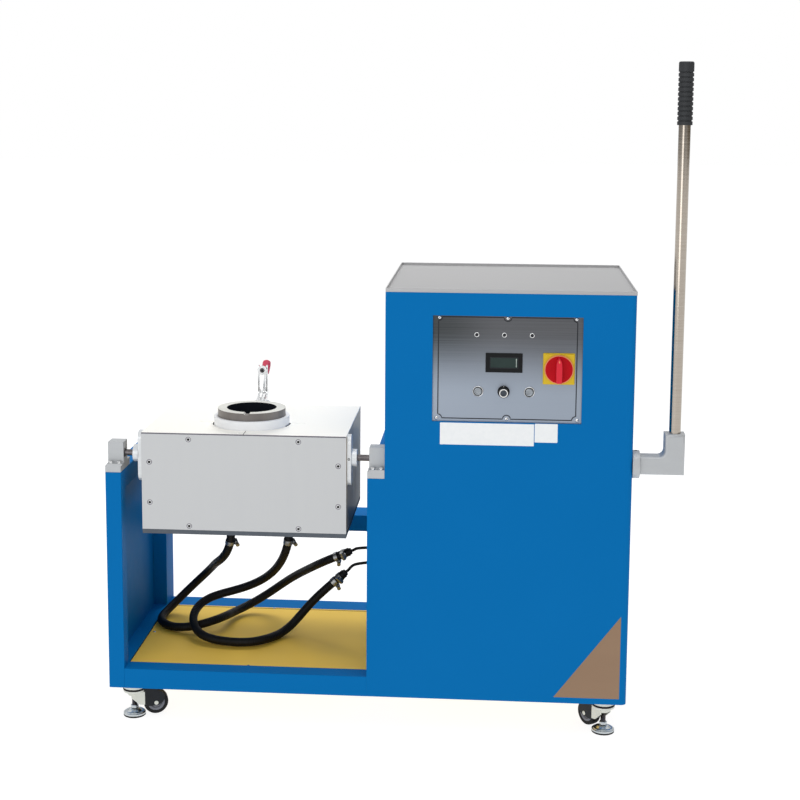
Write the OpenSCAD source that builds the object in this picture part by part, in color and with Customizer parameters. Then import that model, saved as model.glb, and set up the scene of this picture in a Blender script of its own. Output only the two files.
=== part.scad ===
// Lever-tilted induction melting furnace on levelling casters.
// A steel tube frame carries a control cabinet and, beside it, a melting head
// that tips forward on a shaft through two bearing blocks.

/* [Frame] */
// Width over the outer post and the cabinet
frame_w = 1152; // [1060:1:1300]
// Depth from front to rear
frame_d = 526; // [490:1:600]
// Clear height of the frame above the floor
floor_gap = 80; // [74:1:92]
// Height of the base rails
rail_h = 45; // [36:1:54]
// Depth of the front base rail
rail_d = 45; // [38:1:54]
// Width of the outer side frame's tubes
post_w = 35; // [30:1:42]
// Width of the inner side frame's tubes
inner_post_w = 38; // [32:1:46]
// Depth of the two front posts
post_d = 40; // [34:1:48]
// Depth of the rear posts and rear rails
rear_post_d = 80; // [67:1:90]
// Height of the posts above the base of the frame
post_h = 496; // [460:1:560]
// Height of the rear rails
rear_rail_h = 40; // [32:1:48]
// Underside of the upper rear rail above the base of the frame
rear_rail_rise = 249; // [210:1:290]
// Wall of the square tubes
tube_t = 2; // [1.5:0.5:3]
// Thickness of the covering sheets
sheet_t = 2; // [1.5:0.5:2.5]

/* [Cabinet] */
// Width of the cabinet
cabinet_w = 534; // [480:1:600]
// Height of the cabinet panels
cabinet_h = 906; // [860:1:1000]
// Height of the rim of the top tray
rim_h = 8; // [6:1:12]
// Bend radius of the front panel's right edge
corner_r = 12; // [8:1:16]
// Width of the opening for the control plate
window_w = 320; // [310:1:360]
// Height of the opening for the control plate
window_h = 231; // [225:1:260]
// From the cabinet's left side to the opening
window_x = 102; // [80:1:120]
// From the top of the front panel to the opening
window_drop = 49; // [40:1:70]

/* [Melting head] */
// Between the head casing and the side frame on each side
head_gap = 46; // [40:1:60]
// Depth of the head casing
head_d = 340; // [320:1:380]
// Height of the head casing
head_h = 228; // [215:1:250]
// Thickness of the casing sheets
casing_t = 2; // [1.5:0.5:3]
// Thickness of the insulating base board
base_t = 10; // [8:1:14]
// Thickness of the top plate
lid_t = 3; // [2:0.5:5]
// Casing front behind the frame front
head_setback = 3; // [2:1:8]
// Casing top above the tilt axis
head_above = 52; // [46:1:58]
// Outer diameter of the graphite crucible
crucible_d = 152; // [140:1:160]
// Bore of the crucible
crucible_bore = 112; // [96:1:120]
// Height of the refractory brick under the crucible
brick_h = 36; // [30:1:60]
// Crucible rim above the casing top
rim_rise = 37; // [35:1:44]
// Ceramic collar above the casing top
collar_rise = 20; // [14:1:24]
// Wall of the ceramic collar
collar_wall = 8.6; // [7.5:0.1:11]
// Crucible axis behind the casing front
crucible_back = 120; // [115:1:135]
// Turns of the induction coil
coil_turns = 6; // [4:1:7]

/* [Tilt shaft and lever] */
// Tilt axis behind the frame front
axis_back = 30; // [27:1:36]
// Tilt axis above the post tops
axis_rise = 39; // [36:1:44]
// Diameter of the tilt shaft
shaft_d = 14; // [12:1:18]
// Height of the bearing spacers
spacer_h = 15; // [12:1:18]
// Depth of the bearing blocks
block_d = 75; // [70:1:90]
// Lever axis outside the cabinet's right side
lever_out = 90; // [80:1:110]
// Side of the lever elbow's chamfered section
elbow_s = 44; // [40:1:50]
// Diameter of the lever tube
tube_d = 25; // [22:1:28]
// Top of the lever grip above the tilt axis
lever_h = 860; // [760:1:950]
// Wall of the lever grip
grip_wall = 3.5; // [3:0.5:5]
// Length of the lever grip
grip_l = 132; // [110:1:150]

/* [Controls] */
// Side of the square isolator plate
isolator_s = 68; // [60:1:74]
// Reach of the isolator handle in front of the frame
handle_out = 27; // [24:1:36]
// Diameter of the isolator handle's disc
isolator_disc_d = 62; // [50:1:64]
// Width of the power meter
meter_w = 79; // [76:1:82]
// Height of the power meter
meter_h = 42; // [40:1:46]
// Diameter of the push button caps
button_d = 17; // [14:0.5:18]
// Travel of the push buttons
button_travel = 3; // [2:0.5:3]
// Diameter of the power knob
knob_d = 26; // [22:1:30]
// Distance between neighbouring signal lamps
lamp_pitch = 59; // [50:1:64]

/* [Casters and hoses] */
// Diameter of the caster wheels
wheel_d = 56; // [50:1:58]
// Width of the caster wheels
wheel_w = 22; // [18:1:24]
// Wheel axle behind the edge of the levelling pad
axle_gap = 22; // [22:1:28]
// Diameter of the levelling pads
pad_d = 52; // [48:1:54]
// Outer diameter of the water hoses
hose_d = 20; // [16:1:22]

/* [Hidden] */
$fn = 64;

// The plan's centre is the origin, so these put the frame's front left corner in place
x0 = -(frame_w + lever_out + elbow_s / 2) / 2;
y0 = -frame_d / 2;
slack = 0.5;
weld_gap = 0.2;
run_fit = 0.05;
eps = 0.01;

// Heights above the floor
post_top = floor_gap + post_h;
axis_z = post_top + axis_rise;
panel_top = floor_gap + cabinet_h;
rail_top = floor_gap + rail_h;
rear_rail_top = floor_gap + rear_rail_h;
tray_z = rear_rail_top;
tray_top = tray_z + sheet_t;

// Places across the width and depth
cab_x = frame_w - cabinet_w;
bay_r = cab_x - inner_post_w;
rear_y = frame_d - rear_post_d;
cab_in_r = frame_w - sheet_t - inner_post_w;
cab_rear = frame_d - sheet_t;
bend_lip = 4;
bend_end = corner_r + bend_lip;
ledge_w = 20;
ledge_t = 3;

// Melting head
head_w = bay_r - post_w - 2 * head_gap;
head_x = post_w + head_gap;
head_y = head_setback;
head_top = axis_z + head_above;
head_z = head_top - head_h;
head_mid = head_x + head_w / 2;
cruc_y = head_y + crucible_back;
cruc_r = crucible_d / 2;
collar_gap = 0.4;
cruc_floor = 24;
board_top = head_z + base_t;
cruc_bottom = board_top + brick_h;
crucible_deep = head_top + rim_rise - cruc_bottom - cruc_floor;
collar_d = crucible_d + 2 * collar_gap + 2 * collar_wall;
coil_tube_d = 10;
coil_sides = 6;
coil_r = collar_d / 2 + 7 + coil_tube_d / 2;
coil_out_r = coil_r + 15;
coil_angles = [130, 50];
coil_pitch = 18;
coil_z = board_top + 45;
port_a = [head_mid + coil_r * cos(coil_angles[0]), cruc_y + coil_r * sin(coil_angles[0])];
port_b = [head_mid + coil_out_r * cos(coil_angles[1]), cruc_y + coil_out_r * sin(coil_angles[1])];
port_drop = 14;
slit_l = 36;
slit_w = 1.6;
head_screw_in = 16;

// Tilt shaft
bar_t = 10;
bar_w = 38;
bar_h = 114;
hub_d = 38;
hub_l = 12;
block_h = axis_rise - spacer_h + 26;
block_over = 3;
block_w = inner_post_w - block_over;
block_foot = 4;
block_bolt_dx = 9;
shaft_r = shaft_d / 2;
shaft_gap = 4;
collar_l = 16;
elbow_start = frame_w + collar_l + slack;
lever_x = frame_w + lever_out;
elbow_top = axis_z + 74;
tube_in = 30;
lever_top = axis_z + lever_h;
shaft_end = lever_x + 4;
grip_d = tube_d + 2 * grip_wall;
stop_reach = 80;
stop_arm_h = 20;
stop_gap = 0.3;
chamfer = 6;

// Control plate, behind the inward lips of the front panel
lip_d = 4;
plate_y = sheet_t + lip_d;
plate_margin = 12;
win_x = cab_x + window_x;
win_z = panel_top - window_drop - window_h;
col_x = win_x + window_w / 2 - 7;
lamp_z = win_z + window_h - 41;
meter_z = win_z + window_h - 101;
button_z = win_z + window_h - 164;
button_dx = 55;
isolator_x = win_x + window_w - 50;
isolator_z = win_z + window_h - 112;
plate_screw_dx = [146, 151];
plate_screw_in = [4.5, 7];
bezel_d = button_d + 7;
barrel_d = button_d + 4;
lamp_d = 11;
knob_depth = 20;
meter_lip = 3;
disc_out = 7;

// Casters: x, y and swivel angle of each, from above
caster_in = 46;
stations = [
  [caster_in, caster_in - 1, 18],
  [frame_w - caster_in, caster_in - 1, 127],
  [caster_in, frame_d - caster_in, 35],
  [frame_w - caster_in, frame_d - caster_in, 150]];
disc_t = 5;
disc_d = 52;
trail = pad_d / 2 + axle_gap;
foot_lift = 1;
wheel_z = foot_lift + wheel_d / 2;
stem_d = 12;
axle_r = 3;
swivel_gap = 1;
swivel_top = floor_gap - disc_t - swivel_gap;
foot_travel = 4;
stem_top = floor_gap - disc_t - foot_travel - 2;
boss_r = stem_d / 2 + 5;
boss_l = swivel_gap + 20;

// Toggle clamp: pivots as offsets from its base point behind the crucible, y then z.
// Folded forward, its tip lies just above the crucible's rim.
clamp_tip_z = 37;
clamp_y = cruc_y + cruc_r + 63;
clamp_z = head_top + rim_rise - clamp_tip_z;
clamp_pivot = [0, 23];
clamp_tip_y = clamp_tip_z - clamp_pivot[1] + slack;
clamp_handle_pivot = [38, 39];
clamp_base_pivot = [28, 17];
clamp_link_end = [60.8, 39];
clamp_bar = [26, 96];
clamp_grip = [71, 82];
clamp_pin_r = 2.5;

// Hose routes in the frame's own coordinates, ends square to what they meet
hose_sides = 10;
hose_r = hose_d / 2;
lie_z = tray_top + hose_r + 0.3;
left_route = [
  [port_a[0], port_a[1], head_z - port_drop], [port_a[0], port_a[1], head_z - port_drop - 26],
  [241.1, 203.2, 365.3], [230.5, 219.8, 337.2], [217.1, 243.7, 316.2], [204.3, 271.4, 299.8],
  [193, 301.1, 286], [182.5, 331.4, 272.7], [171.8, 361, 258.2], [158.9, 388.3, 241.3],
  [141.3, 409.7, 220.7], [118.6, 420.7, 197.2], [94.1, 418.7, 173.2],
  [71.7, 403.2, lie_z + 19.8], [55, 376.8, lie_z + 5.5], [47.1, 343.7, lie_z],
  [51.5, 309.6, lie_z + 0.1], [69.2, 280, lie_z], [97.3, 260.3, lie_z + 0.9],
  [130.8, 253.6, lie_z + 5.1], [163.9, 261.3, lie_z + 10.7], [191.1, 282, lie_z + 14.6],
  [208.5, 311.7, lie_z + 14.2], [216.1, 345.1, lie_z + 9.5], [225.3, 378.2, lie_z + 5.7],
  [244.6, 406.5, lie_z + 8.7], [271, 425.6, lie_z + 19.8], [299.8, 432.4, 169.7],
  [326.9, 427.1, 190.5], [351.4, 413.5, 210.8], [373.4, 394.1, 229.2], [393.6, 371.6, 246.1],
  [413, 347.8, 262.3], [433.3, 324.9, 278.5], [457.9, 307.1, 294.8], [488.1, 300, 309.9],
  [512, 300, 320]];
right_route = [
  [port_b[0], port_b[1], head_z - port_drop], [port_b[0], port_b[1], head_z - port_drop - 26],
  [376.8, 213.7, 368.9], [369.6, 226.7, 342], [360, 243.8, 318.3], [348.6, 262.7, 296.8],
  [335.2, 281.8, 276.7], [319.2, 300.2, 257.9], [300.1, 316.7, 240.4], [277.4, 330.3, 224.7],
  [251, 338.8, 211.4], [222, 340.2, 201.3], [193.1, 332.8, 194.4], [167.9, 316.7, 188.1],
  [150.1, 293.2, 179.5], [141.8, 265.8, 168.5], [144.5, 238, 155.9],
  [157.6, 212.8, lie_z + 12.2], [179.4, 192.7, lie_z + 4.9], [207.2, 180, lie_z + 1.7],
  [237.2, 173.4, lie_z + 0.7], [267.9, 171.4, lie_z + 0.5], [297.7, 178.5, lie_z + 0.5],
  [323.2, 195.5, lie_z + 1], [341.3, 220.2, lie_z + 0.1], [357.6, 246.3, lie_z + 1.6],
  [376.1, 268.3, lie_z + 12.1], [394.9, 283.8, 162.9], [414.4, 292.9, 184.9],
  [435.4, 297.5, 206.9], [457.7, 299.4, 228.1], [480.5, 300, 248.8], [500, 300, 266]];
left_lead = lead_from(left_route, 23, 336);
right_lead = lead_from(right_route, 34, 304);
lead_d = 7;
pad_plate_t = 10;
// x, z and radius of the connections on the rear
water_in = [cab_x + 120, floor_gap + 110, 8];
water_out = [cab_x + 190, floor_gap + 110, 8];
cable_in = [frame_w - 120, floor_gap + 110, 14];
cable_bore_r = 9;
barb_flange_t = 4;
barb_l = 30;
gland_r = 20;
gland_l = 20;

blue = "#116CB1";
cream = "#D9D6C8";
steel = "#B8BEC3";
board = "#5E6163";

// Puts children at a place given from the frame's front left corner on the floor
module at(x, y, z) translate([x0 + x, y0 + y, z]) children();

module box(x, y, z, size) at(x, y, z) cube(size);

// Closed square tube, capped at its ends
module tube(x, y, z, size, t = tube_t) at(x, y, z) difference() {
  cube(size);
  translate([t, t, t]) cube([size[0] - 2 * t, size[1] - 2 * t, size[2] - 2 * t]);
}

module rod_x(r, l) rotate([0, 90, 0]) cylinder(r = r, h = l);

module rod_y(r, l) rotate([-90, 0, 0]) cylinder(r = r, h = l);

// Plate in the plane of a side, with an outline in y and z, from x to x + t
module side_plate(t) rotate([90, 0, 90]) linear_extrude(t) children();

module slot2d(a, b, r) hull() {
  translate(a) circle(r);
  translate(b) circle(r);
}

// Sweep of a round tube along a list of points
function unit(v) = v / norm(v);
// Lead that goes straight on from a hose's end for a length, then to the cabinet
function lead_from(route, l, z) = let (e = route[len(route) - 1], d = unit(e - route[len(route) - 2]))
  [e, e + l * d, [cab_x, e[1], z]];
function tangent(p, i) = unit(i == 0 ? p[1] - p[0]
  : i == len(p) - 1 ? p[i] - p[i - 1] : unit(p[i + 1] - p[i]) + unit(p[i] - p[i - 1]));
// Carries a normal along the path, so that the tube doesn't twist
function carried(p, i, n) = let (t = tangent(p, i)) unit(n - (n * t) * t);
function normals(p, i, n, done) = i == len(p) ? done
  : let (m = carried(p, i, n)) normals(p, i + 1, m, concat(done, [m]));
function swept(p, r, sides, first) = let (ns = normals(p, 0, first, []))
  [for (i = [0 : len(p) - 1], k = [0 : sides - 1])
    let (t = tangent(p, i), b = cross(t, ns[i]), a = 360 * k / sides)
    p[i] + r * (cos(a) * ns[i] + sin(a) * b)];
function side_faces(rings, sides) = [for (i = [0 : rings - 2], k = [0 : sides - 1], half = [0, 1])
  let (a = i * sides + k, b = i * sides + (k + 1) % sides)
  half == 0 ? [a, a + sides, b] : [b, a + sides, b + sides]];
function caps(rings, sides) = [for (k = [1 : sides - 2], far = [0, 1])
  far == 0 ? [0, k, k + 1] : [(rings - 1) * sides, (rings - 1) * sides + k + 1, (rings - 1) * sides + k]];

module swept_tube(route, r, sides, first) polyhedron(
  points = swept(route, r, sides, first),
  faces = concat(side_faces(len(route), sides), caps(len(route), sides)),
  convexity = 8);

module base_rails() color(blue) {
  tube(post_w, 0, floor_gap, [bay_r - post_w, rail_d, rail_h]);
  tube(cab_x + sheet_t, sheet_t, floor_gap,
    [frame_w - corner_r - cab_x - sheet_t, rail_d - sheet_t, rail_h]);
  tube(post_w, rear_y, floor_gap, [bay_r - post_w, rear_post_d, rear_rail_h]);
  tube(cab_x + sheet_t, rear_y, floor_gap,
    [cab_in_r - cab_x - sheet_t, cab_rear - rear_y, rear_rail_h]);
  for (x = [[0, post_w], [bay_r, inner_post_w]])
    tube(x[0], post_d, floor_gap, [x[1], rear_y - weld_gap - post_d, rail_h]);
  tube(cab_in_r, rail_d, floor_gap, [inner_post_w, rear_y - weld_gap - rail_d, rail_h]);
  // Ledges that carry the floor trays
  for (x = [post_w, bay_r - ledge_w, cab_x + sheet_t, cab_in_r - ledge_w])
    box(x, rail_d, tray_z - ledge_t, [ledge_w, rear_y - rail_d, ledge_t]);
}

module side_frame(x, w, front) {
  tube(x, front, floor_gap, [w, post_d - front, post_h]);
  tube(x, rear_y, floor_gap, [w, rear_post_d, post_h]);
  tube(x, post_d, post_top - rail_h, [w, rear_y - post_d, rail_h]);
}

module bay_frame() color(blue) {
  side_frame(0, post_w, 0);
  side_frame(bay_r, inner_post_w, sheet_t);
  tube(post_w, rear_y, floor_gap + rear_rail_rise,
    [bay_r - post_w, rear_post_d, rear_rail_h]);
}

// Posts and top rails behind the cabinet's sheets; the front right post stands
// behind the tilt shaft
module cabinet_frame() color(blue) {
  front_post_y = axis_back + shaft_r + 20;
  post_l = panel_top - rail_h - rail_top;
  tube(cab_in_r, front_post_y, rail_top, [inner_post_w, post_d, post_l]);
  tube(cab_in_r, rear_y, floor_gap, [inner_post_w, cab_rear - rear_y, panel_top - rail_h - floor_gap]);
  tube(cab_x + sheet_t, rear_y, rear_rail_top,
    [inner_post_w, cab_rear - rear_y, panel_top - rail_h - rear_rail_top]);
  for (rail = [[cab_x + sheet_t, sheet_t], [cab_in_r, corner_r]])
    tube(rail[0], rail[1], panel_top - rail_h, [inner_post_w, cab_rear - rail[1], rail_h]);
  for (y = [plate_y + sheet_t + 2, cab_rear - rail_d])
    tube(cab_x + sheet_t + inner_post_w, y, panel_top - rail_h,
      [cab_in_r - cab_x - sheet_t - inner_post_w, rail_d, rail_h]);
}

module left_side_panel() color(blue)
  box(0, post_d, rail_top, [sheet_t, rear_y - post_d, post_top - rail_h - rail_top]);

// The bay's tray laps over the rear rail
module floor_trays() color("#D5B352") {
  depth = rear_y - rail_d - 2 * slack;
  box(post_w + slack, rail_d + slack, tray_z, [bay_r - post_w - 2 * slack, depth + 10, sheet_t]);
  box(cab_x + sheet_t + slack, rail_d + slack, tray_z,
    [cab_in_r - cab_x - sheet_t - 2 * slack, depth, sheet_t]);
}

// One sheet with an upright arm beside the bay, bent back at the right edge
module front_panel() color(blue) {
  at(0, 0, 0) difference() {
    union() {
      translate([0, 0, floor_gap]) linear_extrude(post_h) panel_profile(bay_r);
      translate([0, 0, post_top]) linear_extrude(panel_top - post_top) panel_profile(cab_x);
    }
    translate([win_x, -1, win_z]) cube([window_w, sheet_t + 2, window_h]);
  }
  at(win_x - sheet_t, sheet_t, win_z - sheet_t) difference() {
    cube([window_w + 2 * sheet_t, lip_d, window_h + 2 * sheet_t]);
    translate([sheet_t, -1, sheet_t]) cube([window_w, lip_d + 2, window_h]);
  }
}

module panel_profile(from) {
  translate([from, 0]) square([frame_w - corner_r - from, sheet_t]);
  translate([frame_w - sheet_t, corner_r]) square([sheet_t, bend_lip]);
  translate([frame_w - corner_r, corner_r]) intersection() {
    difference() {
      circle(corner_r);
      circle(corner_r - sheet_t);
    }
    translate([0, -corner_r]) square(corner_r);
  }
}

// Carries inside the bracket that the shaft's stop arm rests on
module cabinet_left_panel() color(blue) {
  at(cab_x, sheet_t, floor_gap) difference() {
    cube([sheet_t, frame_d - 2 * sheet_t, cabinet_h]);
    translate([-1, axis_back - sheet_t, axis_z - floor_gap])
      rod_x(shaft_r + shaft_gap, sheet_t + 2);
  }
  box(cab_x + sheet_t - eps, axis_back + stop_reach - 28, axis_z - stop_arm_h / 2 - stop_gap - 40,
    [34, 24, 40]);
}

module cabinet_right_panel() color(blue) at(frame_w - sheet_t, bend_end, floor_gap) difference() {
  cube([sheet_t, frame_d - bend_end, cabinet_h]);
  translate([-1, axis_back - bend_end, axis_z - floor_gap]) rod_x(shaft_r + shaft_gap, sheet_t + 2);
}

module cabinet_rear_panel() color(blue) at(cab_x, cab_rear, floor_gap) difference() {
  cube([cabinet_w - sheet_t, sheet_t, cabinet_h]);
  for (p = [water_in, water_out, cable_in])
    translate([p[0] - cab_x, -1, p[1] - floor_gap]) rod_y(p[2] + slack, sheet_t + 2);
}

module top_tray() color("#C0C0C0") at(cab_x, 0, panel_top) difference() {
  cube([cabinet_w, frame_d, rim_h]);
  translate([sheet_t, sheet_t, sheet_t]) cube([cabinet_w - 2 * sheet_t, frame_d - 2 * sheet_t, rim_h]);
}

module pan_head(r = 4) rotate_extrude() difference() {
  intersection() {
    scale([1, 0.6]) circle(r);
    square([r, r]);
  }
  square([r * 0.28, r]);
}

// Hex bolt head with its washer, on a horizontal face
module hex_head(r) {
  cylinder(r = r * 1.25, h = 1.5);
  translate([0, 0, 1.5]) cylinder(r = r, h = r * 0.7, $fn = 6);
}

plate_screws = [for (i = [-1 : 1], k = [0, 1])
  [win_x + window_w / 2 + i * plate_screw_dx[k],
    k == 0 ? win_z + window_h - plate_screw_in[0] : win_z + plate_screw_in[1]]];
side_screw_z = [floor_gap + 60, floor_gap + cabinet_h / 2, panel_top - 60];
block_bolts = [for (post = [0, bay_r], dx = [-block_bolt_dx, block_bolt_dx],
  y = [axis_back - 22, block_d - 11]) [post + block_over + block_w / 2 + dx, y]];

module frame_fasteners() color("#C9CCCE") {
  for (p = plate_screws) at(p[0], plate_y, p[1]) rotate([90, 0, 0]) pan_head();
  for (p = [[post_w + 12, frame_d * 0.48], [(post_w + bay_r) / 2, rear_y + 4],
      [(post_w + bay_r) / 2, rail_d + 6]])
    at(p[0], p[1], tray_top) pan_head(3.5);
  for (z = side_screw_z, y = [bend_end + 20, frame_d - 24]) if (abs(z - axis_z) > 60)
    at(frame_w, y, z) rotate([0, 90, 0]) pan_head();
  for (z = side_screw_z, x = [cab_x + 30, frame_w - 30])
    at(x, frame_d, z) rotate([-90, 0, 0]) pan_head();
  for (p = block_bolts) at(p[0], p[1], post_top + spacer_h + block_foot) hex_head(4.5);
}

module control_plate() color("#9AA4AE") at(win_x - plate_margin, plate_y, win_z - plate_margin)
  difference() {
    cube([window_w + 2 * plate_margin, sheet_t, window_h + 2 * plate_margin]);
    for (h = plate_holes)
      translate([h[0] - win_x + plate_margin, -1, h[1] - win_z + plate_margin])
        rod_y(h[2], sheet_t + 2);
    translate([col_x - meter_w / 2 + meter_lip - win_x + plate_margin, -1,
        meter_z - meter_h / 2 + meter_lip - win_z + plate_margin])
      cube([meter_w - 2 * meter_lip, sheet_t + 2, meter_h - 2 * meter_lip]);
  }

// x, z and radius of the round holes in the control plate
plate_holes = [
  for (i = [-1 : 1]) [col_x + i * lamp_pitch, lamp_z, lamp_d / 2 - 1],
  for (i = [-1, 1]) [col_x + i * button_dx, button_z, barrel_d / 2 + 0.2],
  [col_x, button_z, 3.6], [isolator_x, isolator_z, 7]];

module isolator_plate() color("#E0BE2A") at(isolator_x, plate_y, isolator_z) {
  difference() {
    union() {
      translate([-isolator_s / 2, -6, -isolator_s / 2]) cube([isolator_s, 6, isolator_s]);
      rod_y(6.8, 12);
      translate([-26, sheet_t, -26]) cube([52, 45, 52]);
    }
    translate([0, -7, 0]) rod_y(4.05, 30);
  }
}

module isolator_handle() color("#C4142B") at(isolator_x, plate_y - 6.3, isolator_z) {
  grip_front = handle_out + plate_y - 6.3;
  translate([0, -disc_out, 0]) rod_y(isolator_disc_d / 2, disc_out);
  translate([-6, -grip_front, -isolator_disc_d / 2 + 2])
    cube([12, grip_front - disc_out + eps, isolator_disc_d - 4]);
  rod_y(4, 24);
}

module power_meter() color("#20242A") at(col_x, plate_y, meter_z) {
  difference() {
    translate([-meter_w / 2, -2.5, -meter_h / 2]) cube([meter_w, 2.5, meter_h]);
    translate([-meter_w / 2 + 8, -3, -meter_h / 2 + 8]) cube([meter_w - 16, 1.5, meter_h - 16]);
  }
  in = meter_lip + 0.3;
  translate([-meter_w / 2 + in, -eps, -meter_h / 2 + in])
    cube([meter_w - 2 * in, 50, meter_h - 2 * in]);
}

module button_and_lamp_bezels() color("#C8CBCD") {
  for (i = [-1, 1]) at(col_x + i * button_dx, plate_y, button_z) difference() {
    union() {
      translate([0, -2.5, 0]) rod_y(bezel_d / 2, 2.5);
      rod_y(barrel_d / 2, 30);
    }
    translate([0, -3, 0]) rod_y(button_d / 2 + 0.2, 21);
  }
  for (i = [-1 : 1]) at(col_x + i * lamp_pitch, plate_y, lamp_z) {
    translate([0, -1.5, 0]) rod_y(lamp_d / 2, 1.5);
    translate([0, -3, 0]) rod_y(lamp_d / 2 - 2, 1.6);
    rod_y(lamp_d / 2 - 1.2, 18);
  }
}

module push_button(i) at(col_x + i * button_dx, plate_y - 4.5, button_z) rod_y(button_d / 2, 15);

module start_button() color("#C8CBCD") push_button(-1);

module stop_button() color("#C8CBCD") push_button(1);

module power_knob() color("#1B1C1E") at(col_x, plate_y - 0.3, button_z) {
  translate([0, -3, 0]) rod_y(knob_d / 2, 3);
  translate([0, -knob_depth, 0]) rod_y(knob_d / 2 - 2.5, knob_depth - 3 + eps);
  rod_y(3, 14);
}

// Inside of the cabinet: the inverter and its water-cooled output stage
module power_module() color("#7E868C") {
  module_x = cab_x + 140;
  difference() {
    tube(module_x, 200, tray_top, [300, 240, 210], 4);
    for (i = [0 : 8]) box(module_x + 22 + i * 30, 199, tray_top + 120, [16, 6, 60]);
  }
  box(module_x + 60, 236, tray_top + 210, [180, 160, 40]);
}

module capacitor_bank() color("#3C5A78") {
  box(cab_x + 200, 236, tray_top + 250, [220, 160, 6]);
  for (i = [0 : 2], k = [0, 1])
    at(cab_x + 240 + i * 70, 277 + k * 78, tray_top + 256) cylinder(d = 60, h = 90);
}

module output_transformer() color("#6B4A2B") {
  difference() {
    box(cab_x + 40, 240, tray_top, [90, 130, 220]);
    box(cab_x + 62, 239, tray_top + 60, [46, 132, 90]);
  }
  for (lead = [left_lead, right_lead]) at(cab_x + sheet_t + slack, lead[2][1], lead[2][2])
    rod_x(lead_d, 41);
}

module water_manifold() color("#B48A3C") {
  box(water_in[0] - 30, cab_rear - 30, water_in[1] - 20, [water_out[0] - water_in[0] + 60, 30, 40]);
  for (p = [water_in, water_out]) at(p[0], cab_rear - eps, p[1]) {
    rod_y(p[2], sheet_t + barb_l + eps);
    translate([0, sheet_t + eps, 0]) rod_y(p[2] + 5, barb_flange_t);
  }
  at(cable_in[0], cab_rear - gland_l, cable_in[1]) difference() {
    union() {
      rod_y(gland_r, gland_l);
      rod_y(cable_in[2], gland_l + sheet_t + eps);
      translate([0, gland_l + sheet_t, 0]) rod_y(gland_r, gland_l - 2);
    }
    translate([0, -1, 0]) rod_y(cable_bore_r, 3 * gland_l);
  }
}

// A spacer and a block with a foot for its bolts, one on each front post
module bearing_blocks() color(steel) for (post = [[0, post_w], [bay_r, inner_post_w]]) {
  box(post[0], 0, post_top, [post[1], block_d + 8, spacer_h]);
  at(post[0] + block_over, 0, post_top + spacer_h) difference() {
    union() {
      cube([block_w, block_d, block_foot]);
      translate([0, axis_back - 14, 0]) cube([block_w, 36, block_h]);
    }
    translate([-1, axis_back, axis_rise - spacer_h]) rod_x(shaft_r + run_fit, block_w + 2);
  }
}

module outboard_bearing() color(steel) at(frame_w, axis_back, axis_z) difference() {
  rod_x(30.5, collar_l);
  translate([-1, 0, 0]) rod_x(shaft_r + run_fit, collar_l + 2);
}

// Round rod between two points of a lead
module rod_between(a, b, r) {
  v = b - a;
  translate(a) rotate([0, acos(v[2] / norm(v)), atan2(v[1], v[0])]) cylinder(r = r, h = norm(v));
}

// Clamp band with its screw housing, round the end of a hose
module hose_clamp(tip, dir) translate(tip) rotate([0, acos(dir[2]), atan2(dir[1], dir[0])])
  translate([0, 0, -22]) difference() {
    union() {
      cylinder(r = hose_r + 2, h = 12);
      translate([hose_r + 1, -6, 0]) cube([8, 12, 12]);
    }
    translate([0, 0, -1]) cylinder(r = hose_r + 0.4, h = 14);
  }

module hose_terminals() color("#A8683A") at(0, 0, 0) {
  for (lead = [left_lead, right_lead]) {
    dir = unit(lead[1] - lead[0]);
    translate(lead[0]) rotate([0, acos(dir[2]), 0]) translate([0, 0, eps]) cylinder(r = hose_r - 2, h = 5);
    rod_between(lead[0] + 3 * dir, lead[1], lead_d / 2);
    translate(lead[1] - [0, lead_d / 2 + 1, 0]) rod_y(lead_d / 2 + 1.3, lead_d + 2);
    rod_between(lead[1], lead[2] - [pad_plate_t - 1, 0, 0], lead_d / 2);
    hose_clamp(lead[0], dir);
  }
  translate([cab_x - pad_plate_t, 262, 275]) cube([pad_plate_t, 76, 90]);
}

module head_front_plate() color("#C2C4C6")
  box(head_x, head_y, board_top, [head_w, casing_t, head_h - base_t - lid_t]);

module head_rear_plate() color("#C2C4C6")
  box(head_x, head_y + head_d - casing_t, board_top, [head_w, casing_t, head_h - base_t - lid_t]);

module head_side_plates() color("#70675A") for (x = [head_x, head_x + head_w - casing_t])
  box(x, head_y + casing_t, board_top, [casing_t, head_d - 2 * casing_t, head_h - base_t - lid_t]);

// Slits break the ring that the coil would heat
module head_top_plate() color("#F4F2EC") at(head_mid, cruc_y, head_top - lid_t) difference() {
  translate([-head_w / 2, -crucible_back, 0]) cube([head_w, head_d, lid_t]);
  translate([0, 0, -1]) cylinder(d = collar_d + 1, h = lid_t + 2, $fn = 96);
  for (x = [-slit_l - collar_d / 2, collar_d / 2 - 5])
    translate([x, 8, -1]) cube([slit_l + 5, slit_w, lid_t + 2]);
  translate([-slit_w / 2, -crucible_back - 1, -1])
    cube([slit_w, crucible_back - collar_d / 2 + 3, lid_t + 2]);
}

module head_base_board() color(board) box(head_x, head_y, head_z, [head_w, head_d, base_t]);

head_screws_at = concat(
  [for (sx = [-1, 1], z = [board_top + 9, head_top - 14]) [head_mid + sx * 121.5, z]],
  [for (sx = [-1, 1], z = [board_top + 61, head_top - 66])
    [head_mid + sx * (head_w / 2 - head_screw_in - 1.5), z]]);

module head_screws() color("#D0D2D4") for (p = head_screws_at) {
  at(p[0], head_y, p[1]) rotate([90, 0, 0]) pan_head(4.5);
  at(p[0], head_y + head_d, p[1]) rotate([-90, 0, 0]) pan_head(4.5);
}

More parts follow.
